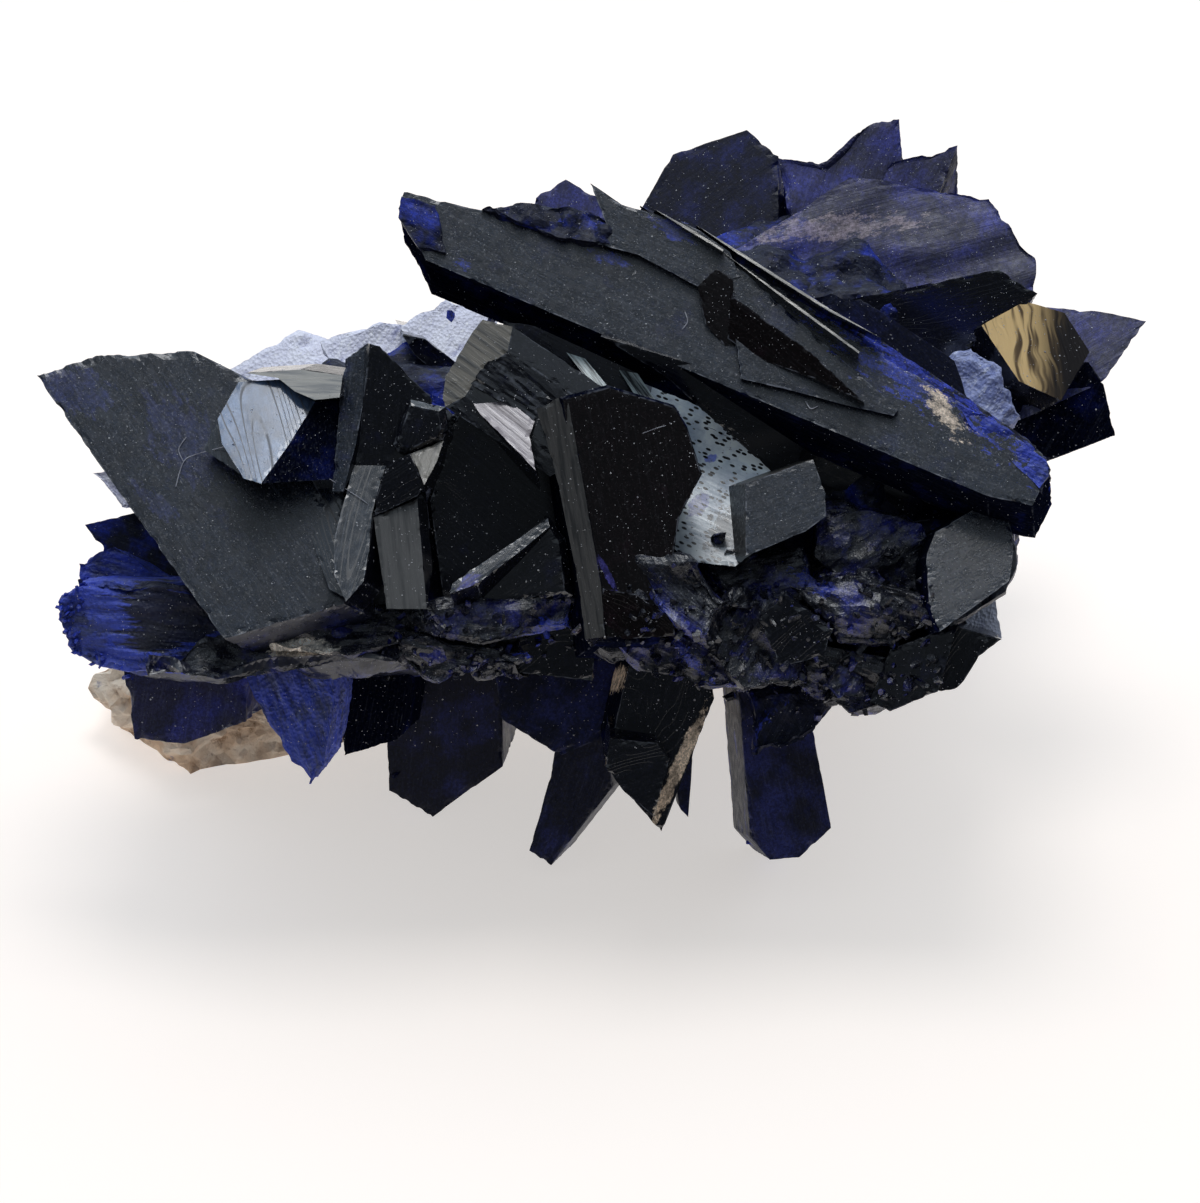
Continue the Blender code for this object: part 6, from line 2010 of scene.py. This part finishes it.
@dataclass
class DruseCarpet:
    """The tiny crystals that crowd on the rough places."""

    name: str = "druse_carpet"
    seed: int = 61
    patches: tuple[Patch, ...] = (
        Patch(
            ((-9.2, -0.6), (-1.0, 0.2), (-0.6, -2.0), (-5.0, -3.2), (-8.6, -3.2)), 90, (0.05, 0.2),
            Look.DRUSE),
        Patch(
            ((0.6, 0.6), (3.4, 1.6), (5.6, 0.4), (9.0, 1.2), (13.4, 0.8), (13.6, -3.4), (9.0, -5.0),
             (1.2, -2.8)),
            230, (0.05, 0.22), Look.DRUSE),
        Patch(
            ((-21.9, 1.0), (-20.6, 1.0), (-20.8, -1.8), (-18.6, -2.9), (-19.0, -3.3), (-21.6, -2.8),
             (-22.5, -1.0)),
            170, (0.05, 0.13), Look.ETCHED),
    )
    wild_count: int = 400
    wild_size: Point2 = (0.06, 0.26)
    wild_cover: float = 1.5
    wild_etched: float = 0.2
    wild_area: tuple[Point2, Point2, Point2] = ((-14.0, 14.0), (-2.0, 12.0), (-14.0, -6.0))
    tilt: float = 0.55
    height: Point2 = (0.8, 2.4)
    flatness: Point2 = (0.35, 1.0)
    root: float = 0.8
    taper: float = 0.2

    def sprout(self, place: Vector, normal: Vector, size: float, look: Look, chance: random.Random,
               target: Faceted) -> None:
        """Grows one tiny crystal.

        Args:
            place: where it stands.
            normal: the surface's normal there.
            size: half its width.
            look: its finish.
            chance: the random numbers.
            target: what it is added to.
        """
        sides = chance.choice((4, 5, 6))
        tilt = Vector([chance.gauss(0.0, self.tilt) for _ in range(3)])
        axis = (normal + tilt).normalized()
        first = axis.orthogonal().normalized()
        second = axis.cross(first)
        flat = chance.uniform(*self.flatness)
        tall = size * chance.uniform(*self.height)
        slant = Vector([chance.uniform(-0.6, 0.6) for _ in range(2)])
        turn = chance.uniform(0.0, math.tau)
        low, high = [], []
        for k in range(sides):
            angle = turn + math.tau * (k + chance.uniform(-0.2, 0.2)) / sides
            x, y = math.cos(angle) * size, math.sin(angle) * size * flat
            corner = place + first * x + second * y
            low.append(corner - axis * size * self.root)
            top = corner + axis * (tall + x * slant.x + y * slant.y)
            high.append(top - (first * x + second * y) * self.taper)
        points = np.array([corner[:] for corner in low + high])
        triangles = []
        for k in range(sides):
            j = (k + 1) % sides
            triangles += [(k, j, sides + j), (k, sides + j, sides + k)]
        triangles += [(sides, sides + k, sides + k + 1) for k in range(1, sides - 1)]
        triangles += [(0, k + 1, k) for k in range(1, sides - 1)]
        shift = np.array([chance.uniform(-40.0, 40.0) for _ in range(3)])
        rims = np.array([0.6] * sides + [0.12] * sides)
        looks = np.full(len(triangles), LOOKS.index(look))
        tones = np.full(len(triangles), chance.random())
        target.take(points, np.array(triangles), looks, tones, points + shift, rims)

    def grow(self, surface: Surface) -> Faceted:
        """Grows the patches, and strays over the unseen sides.

        Args:
            surface: what they grow on.

        Returns:
            The triangles.
        """
        chance = random.Random(self.seed)
        found = Faceted()
        for patch in self.patches:
            for across, up in patch.points(chance):
                hit = surface.seen_from_front(across, up)
                if hit:
                    self.sprout(*hit, chance.uniform(*patch.size), patch.look, chance, found)
        for _ in range(self.wild_count):
            way = Vector([chance.gauss(0.0, 1.0) for _ in range(3)]).normalized()
            way.z = abs(way.z)
            aim = Vector([chance.uniform(*span) for span in self.wild_area])
            hit = surface.seen_along(aim - way * surface.FAR, way)
            front = hit and surface.seen_from_front(hit[0].x, hit[0].y + self.wild_cover)
            if front and front[0].z > hit[0].z + self.wild_cover:
                look = Look.ETCHED if chance.random() < self.wild_etched else Look.DRUSE
                self.sprout(*hit, chance.uniform(*self.wild_size), look, chance, found)
        return found


@dataclass
class Dust:
    """Grains of dust that lie on the crystals."""

    name: str = "dust"
    seed: int = 71
    front_count: int = 9500
    top_count: int = 1200
    size: Point2 = (0.010, 0.028)
    across: Point2 = (-23.0, 23.0)
    up: Point2 = (-6.0, 21.0)
    top_depth: Point2 = (-22.0, 4.0)
    top_height: float = 10.0

    def settle(self, surface: Surface) -> Faceted:
        """Lets the dust settle.

        Args:
            surface: what it settles on.

        Returns:
            The triangles.
        """
        chance = random.Random(self.seed)
        found = Faceted()
        down = Vector((0.0, -math.cos(DISPLAY_TILT), -math.sin(DISPLAY_TILT)))
        for i in range(self.front_count + self.top_count):
            start = Vector((chance.uniform(*self.across), chance.uniform(*self.up), 0.0))
            if i < self.front_count:
                hit = surface.seen_from_front(start.x, start.y)
            else:
                start.z = chance.uniform(*self.top_depth)
                start.y = self.top_height
                hit = surface.seen_along(start - down * surface.FAR, down)
            if hit is None:
                continue
            self.grain(
                hit[0], chance.uniform(*self.size) * chance.choice((0.7, 1.0, 1.0, 1.0, 1.6)), chance,
                found)
        return found

    @staticmethod
    def grain(place: Vector, size: float, chance: random.Random, target: Faceted) -> None:
        """Adds one grain.

        Args:
            place: where it lies.
            size: its radius.
            chance: the random numbers.
            target: what it is added to.
        """
        ways = ((1, 0, 0), (-1, 0, 0), (0, 1, 0), (0, -1, 0), (0, 0, 1), (0, 0, -1))
        points = np.array(
            [[place[k] + way[k] * size * chance.uniform(0.5, 1.3) for k in range(3)] for way in ways])
        triangles = np.array(
            [(0, 2, 4), (2, 1, 4), (1, 3, 4), (3, 0, 4), (2, 0, 5), (1, 2, 5), (3, 1, 5), (0, 3, 5)])
        target.take(points, triangles, np.zeros(8), np.full(8, chance.random()), points, np.ones(6))


@dataclass
class Lint:
    """Textile fibres caught on the crystals, each by its course in the display view and its thickness."""

    name: str = "lint"
    fibres: tuple[tuple[tuple[Point2, ...], float], ...] = (
        (((-17.0, 4.6), (-16.7, 5.6), (-16.2, 5.9), (-15.4, 6.1), (-14.6, 6.3)), 0.02),
        (((-16.7, 5.6), (-16.9, 6.1), (-16.6, 6.6)), 0.018),
        (((-10.8, 4.9), (-10.0, 4.4), (-9.4, 4.0), (-9.0, 3.6)), 0.015),
        (((1.7, 6.7), (2.6, 7.0), (3.5, 7.1), (4.4, 7.0), (5.0, 6.7), (5.6, 6.4)), 0.013),
        (((3.4, 11.6), (3.5, 11.2), (3.3, 10.9)), 0.02),
        (((8.2, 8.0), (8.4, 7.7), (8.7, 7.8)), 0.02),
    )
    lift: float = 0.05
    sides: int = 5

    @staticmethod
    def smooth(course: list[Vector], steps: int = 6) -> list[Vector]:
        """A smooth course through some points.

        Args:
            course: the points.
            steps: how many steps from each to the next.

        Returns:
            The finer course.
        """
        found = []
        ends = [course[0], *course, course[-1]]
        for before, here, after, beyond in zip(ends, ends[1:], ends[2:], ends[3:]):
            for k in range(steps):
                t = k / steps
                bend = (2.0 * before - 5.0 * here + 4.0 * after - beyond) * t * t
                twist = (3.0 * here - before - 3.0 * after + beyond) * t ** 3
                found.append(0.5 * (2.0 * here + (after - before) * t + bend + twist))
        return found + [course[-1]]

    def lay(self, surface: Surface) -> Faceted:
        """Lays the fibres.

        Args:
            surface: what they lie on.

        Returns:
            The triangles.
        """
        found = Faceted()
        for course, thick in self.fibres:
            stops = []
            for across, up in course:
                hit = surface.seen_from_front(across, up)
                out = hit[0].z if hit else 0.0
                stops.append(Vector((across, up, out + self.lift + thick)))
            line = self.smooth(stops)
            points = []
            for i, stop in enumerate(line):
                way = (line[min(i + 1, len(line) - 1)] - line[max(i - 1, 0)]).normalized()
                first = way.cross(Vector((0.0, 0.0, 1.0))).normalized()
                second = first.cross(way)
                for k in range(self.sides):
                    angle = math.tau * k / self.sides
                    points.append((stop + (first * math.cos(angle) + second * math.sin(angle)) * thick)[:])
            triangles = []
            for i in range(len(line) - 1):
                for k in range(self.sides):
                    j = (k + 1) % self.sides
                    a, b, c, d = (
                        i * self.sides + k, i * self.sides + j, (i + 1) * self.sides + j,
                        (i + 1) * self.sides + k)
                    triangles += [(a, b, c), (a, c, d)]
            last = (len(line) - 1) * self.sides
            triangles += [(0, k + 1, k) for k in range(1, self.sides - 1)]
            triangles += [(last, last + k, last + k + 1) for k in range(1, self.sides - 1)]
            points = np.array(points)
            found.take(
                points, np.array(triangles), np.zeros(len(triangles)), np.zeros(len(triangles)), points,
                np.ones(len(points)))
        return found


@dataclass
class Clay:
    """The clay matrix under the back of the cluster."""

    name: str = "clay"
    footprint: tuple[Point2, ...] = (
        (-20.6, 1.6), (-17.4, -1.9), (-13.4, -0.6), (-10.0, 0.8), (-4.4, 2.8), (1.6, 4.2), (7.6, 5.2),
        (12.4, 7.2), (13.6, 11.0), (7.6, 13.4), (0.6, 12.6), (-6.6, 13.8), (-13.0, 12.6), (-19.0, 8.2),
    )
    rings: tuple[Point2, ...] = ((0.0, 0.95), (1.2, 1.03), (3.4, 0.98), (5.8, 0.86), (8.0, 0.68), (9.6, 0.4))
    roughness: float = 0.75
    seed: int = 5
    grain: float = 0.5
    passes: int = 7
    lumps: float = 0.7
    pits: float = 0.5
    foot: float = 0.8

    def build(self) -> Faceted:
        """Builds the lump.

        Returns:
            The triangles, over the ground.
        """
        chance = random.Random(self.seed)
        shape = bmesh.new()
        rings = []
        for height, size in self.rings:
            ring = scaled([Vector((*point, height)) for point in self.footprint], size)
            if height:
                for point in ring:
                    point += Vector([chance.uniform(-self.roughness, self.roughness) for _ in range(3)])
            rings.append([shape.verts.new(point) for point in ring])
        for ring, after in zip(rings, rings[1:]):
            for i in range(len(ring)):
                j = (i + 1) % len(ring)
                shape.faces.new((ring[i], ring[j], after[j], after[i]))
        shape.faces.new(rings[0])
        shape.faces.new(rings[-1])
        bmesh.ops.recalc_face_normals(shape, faces=shape.faces)
        bmesh.ops.triangulate(shape, faces=shape.faces)
        for _ in range(self.passes):
            long = [edge for edge in shape.edges if edge.calc_length() > self.grain]
            bmesh.ops.subdivide_edges(shape, edges=long, cuts=1)
            bmesh.ops.triangulate(shape, faces=[face for face in shape.faces if len(face.verts) > 3])
        bmesh.ops.smooth_vert(shape, verts=[vert for vert in shape.verts if vert.co.z > 0.2], factor=0.5,
                              use_axis_x=True, use_axis_y=True, use_axis_z=True)
        shape.normal_update()
        for vert in shape.verts:
            lump = noise.fractal(vert.co * 0.5, 0.8, 2.1, 6) * self.lumps
            pit = -abs(noise.noise(vert.co * 1.3)) * self.pits
            shift = vert.normal * (lump + pit)
            shift.z *= min(1.0, vert.co.z / self.foot)
            vert.co += shift
            vert.co.z = max(vert.co.z, 0.0)
        shape.verts.index_update()
        points = np.array([vert.co[:] for vert in shape.verts])
        triangles = np.array([[vert.index for vert in face.verts] for face in shape.faces])
        shape.free()
        found = Faceted()
        found.take(
            points, triangles, np.zeros(len(triangles)), np.zeros(len(triangles)), points,
            np.ones(len(points)))
        return found


# ---------------------------------------------------------------- the studio


@dataclass
class Studio:
    """A pale floor, a softbox overhead, a bright back and a dim front, and the camera."""

    floor_radius: float = 0.075
    floor_fade: float = 0.04
    floor_colour: Colour = (0.65, 0.575, 0.525)
    floor_glow: float = 0.565
    camera_distance: float = 0.401
    lens: float = 300.0

    def floor(self) -> bpy.types.Object:
        """Builds the floor.

        Returns:
            The floor.
        """
        shape = bmesh.new()
        bmesh.ops.create_circle(shape, cap_ends=True, segments=96, radius=self.floor_radius)
        mesh = bpy.data.meshes.new("floor")
        shape.to_mesh(mesh)
        shape.free()
        wiring = Wiring("pale floor")
        place = wiring.node("TexCoord").outputs["Object"]
        away = wiring.node("VectorMath", {0: place}, operation="LENGTH").outputs["Value"]
        edge = wiring.ramp(away, self.floor_fade, self.floor_radius * 0.98)
        soft = wiring.noise(place, 30.0, 3.0)
        darker = tuple(part * 0.97 for part in self.floor_colour)
        wiring.feed(wiring.shader.inputs["Base Color"], wiring.mix(soft, self.floor_colour, darker))
        wiring.shader.inputs["Roughness"].default_value = 0.9
        wiring.shader.inputs["Specular IOR Level"].default_value = 0.2
        wiring.shader.inputs["Emission Color"].default_value = (1.0, 0.965, 0.935, 1.0)
        wiring.shader.inputs["Emission Strength"].default_value = self.floor_glow
        clear = wiring.node("BsdfTransparent")
        both = wiring.node("MixShader", {0: edge, 1: wiring.shader.outputs[0], 2: clear.outputs[0]})
        wiring.tree.links.new(both.outputs[0], wiring.tree.nodes["Material Output"].inputs[0])
        mesh.materials.append(wiring.material)
        floor = bpy.data.objects.new("floor", mesh)
        bpy.context.scene.collection.objects.link(floor)
        return floor

    def sky(self) -> None:
        """Wires the light all round: bright above and behind, dim in front, white to the camera."""
        world = bpy.data.worlds.new("studio")
        bpy.context.scene.world = world
        world.use_nodes = True
        tree = world.node_tree
        tree.nodes.clear()
        wiring = Wiring("unused")
        wiring.tree = tree
        way = wiring.node("SeparateXYZ", {0: wiring.node("TexCoord").outputs["Generated"]})
        height, depth = way.outputs[2], way.outputs[1]
        top = wiring.ramp(height, 0.35, 0.95)
        behind = wiring.ramp(depth, -0.2, 0.8)
        above = wiring.ramp(height, -0.05, 0.15)
        level = wiring.plus(wiring.times(top, 0.36), wiring.times(behind, 1.2))
        level = wiring.plus(wiring.times(level, above), 0.05)
        light = wiring.node("Background", {0: (0.76, 0.88, 1.0), 1: level})
        white = wiring.node("Background", {0: (1.0, 1.0, 1.0), 1: 1.0})
        seen = wiring.node("LightPath").outputs["Is Camera Ray"]
        both = wiring.node("MixShader", {0: seen, 1: light.outputs[0], 2: white.outputs[0]})
        output = tree.nodes.new("ShaderNodeOutputWorld")
        tree.links.new(both.outputs[0], output.inputs[0])
        bpy.data.materials.remove(wiring.material)

    @staticmethod
    def softbox(
        name: str, azimuth: float, elevation: float, distance: float, size: float, power: float) -> None:
        """Hangs one soft light that faces the specimen.

        Args:
            name: the light's name.
            azimuth: degrees round from the front to the right.
            elevation: degrees above the horizon.
            distance: metres from the specimen.
            size: metres along each side.
            power: watts.
        """
        light = bpy.data.lights.new(name, "AREA")
        light.shape = "SQUARE"
        light.size = size
        light.energy = power
        lamp = bpy.data.objects.new(name, light)
        side, up = math.radians(azimuth), math.radians(elevation)
        way = Vector((math.sin(side) * math.cos(up), -math.cos(side) * math.cos(up), math.sin(up)))
        lamp.location = way * distance + Vector((0.0, 0.0, MIDDLE_HEIGHT))
        lamp.rotation_euler = way.to_track_quat("Z", "Y").to_euler()
        bpy.context.scene.collection.objects.link(lamp)

    def camera(self) -> None:
        """Sets up the camera in the display view."""
        data = bpy.data.cameras.new("camera")
        data.lens = self.lens
        data.sensor_fit = "HORIZONTAL"
        data.sensor_width = 36.0
        data.clip_start = 0.01
        data.clip_end = 10.0
        camera = bpy.data.objects.new("camera", data)
        view = display_matrix()
        way = (view.to_3x3() @ Vector((0.0, 0.0, 1.0))).normalized()
        camera.location = view.translation + way * self.camera_distance
        camera.rotation_euler = way.to_track_quat("Z", "Y").to_euler()
        bpy.context.scene.collection.objects.link(camera)
        bpy.context.scene.camera = camera

    def build(self) -> None:
        """Sets up the studio."""
        self.floor()
        self.sky()
        self.softbox("overhead", azimuth=180.0, elevation=80.0, distance=0.30, size=0.13, power=0.34)
        self.camera()
        bpy.context.scene.view_settings.view_transform = "Standard"


class Specimen:
    """The whole specimen: builds its pieces in order and sets them in the frame."""

    def __init__(self) -> None:
        """Makes the finishes."""
        self.palette = Palette()

    def place(self, faceted: Faceted, name: str, matrix: Matrix, slot: str) -> bpy.types.Object:
        """Makes a piece of some triangles.

        Args:
            faceted: the triangles.
            name: the piece's name.
            matrix: from their coordinates to the part's frame.
            slot: not used.

        Returns:
            The piece.
        """
        mesh = faceted.mesh(name, matrix)
        piece = bpy.data.objects.new(name, mesh)
        bpy.context.scene.collection.objects.link(piece)
        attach(piece, "root")
        LOG.info("%s: %d triangles", name, len(mesh.polygons))
        return piece

    def build(self) -> None:
        """Builds every piece."""
        view = display_matrix()
        groups = [
            LongBlade(), LeftFan(), Underside(), MiddleGroup(), FrontRim(), RearFan(), RearLeft(),
            BackSpray(), Heart()]
        parts = [group.cut() for group in groups]
        for group, part in zip(groups, parts):
            piece = self.place(part, group.name, view, "azurite")
            self.palette.dress(piece.data)
            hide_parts("azurite_cluster")
        surface = Surface(parts)
        carpet = DruseCarpet()
        self.palette.dress(self.place(carpet.grow(surface), carpet.name, view, "azurite").data)
        dust = Dust()
        grains = self.place(dust.settle(surface), dust.name, view, "azurite")
        grains.data.materials.append(DirtFinish("dust").make())
        lint = Lint()
        fibres = self.place(lint.lay(surface), lint.name, view, "azurite")
        fibres.data.materials.append(DirtFinish("textile fibre", (0.55, 0.56, 0.62), (0.3, 0.3, 0.36)).make())
        clay = Clay()
        lump = self.place(clay.build(), clay.name, ground_matrix(), "clay")
        lump.data.materials.append(ClayFinish().make())
        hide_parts("clay_matrix")


def main() -> None:
    """Builds the studio and the specimen."""
    logging.basicConfig(level=logging.INFO, format="%(message)s")
    Studio().build()
    Specimen().build()


if __name__ == "__main__":
    main()
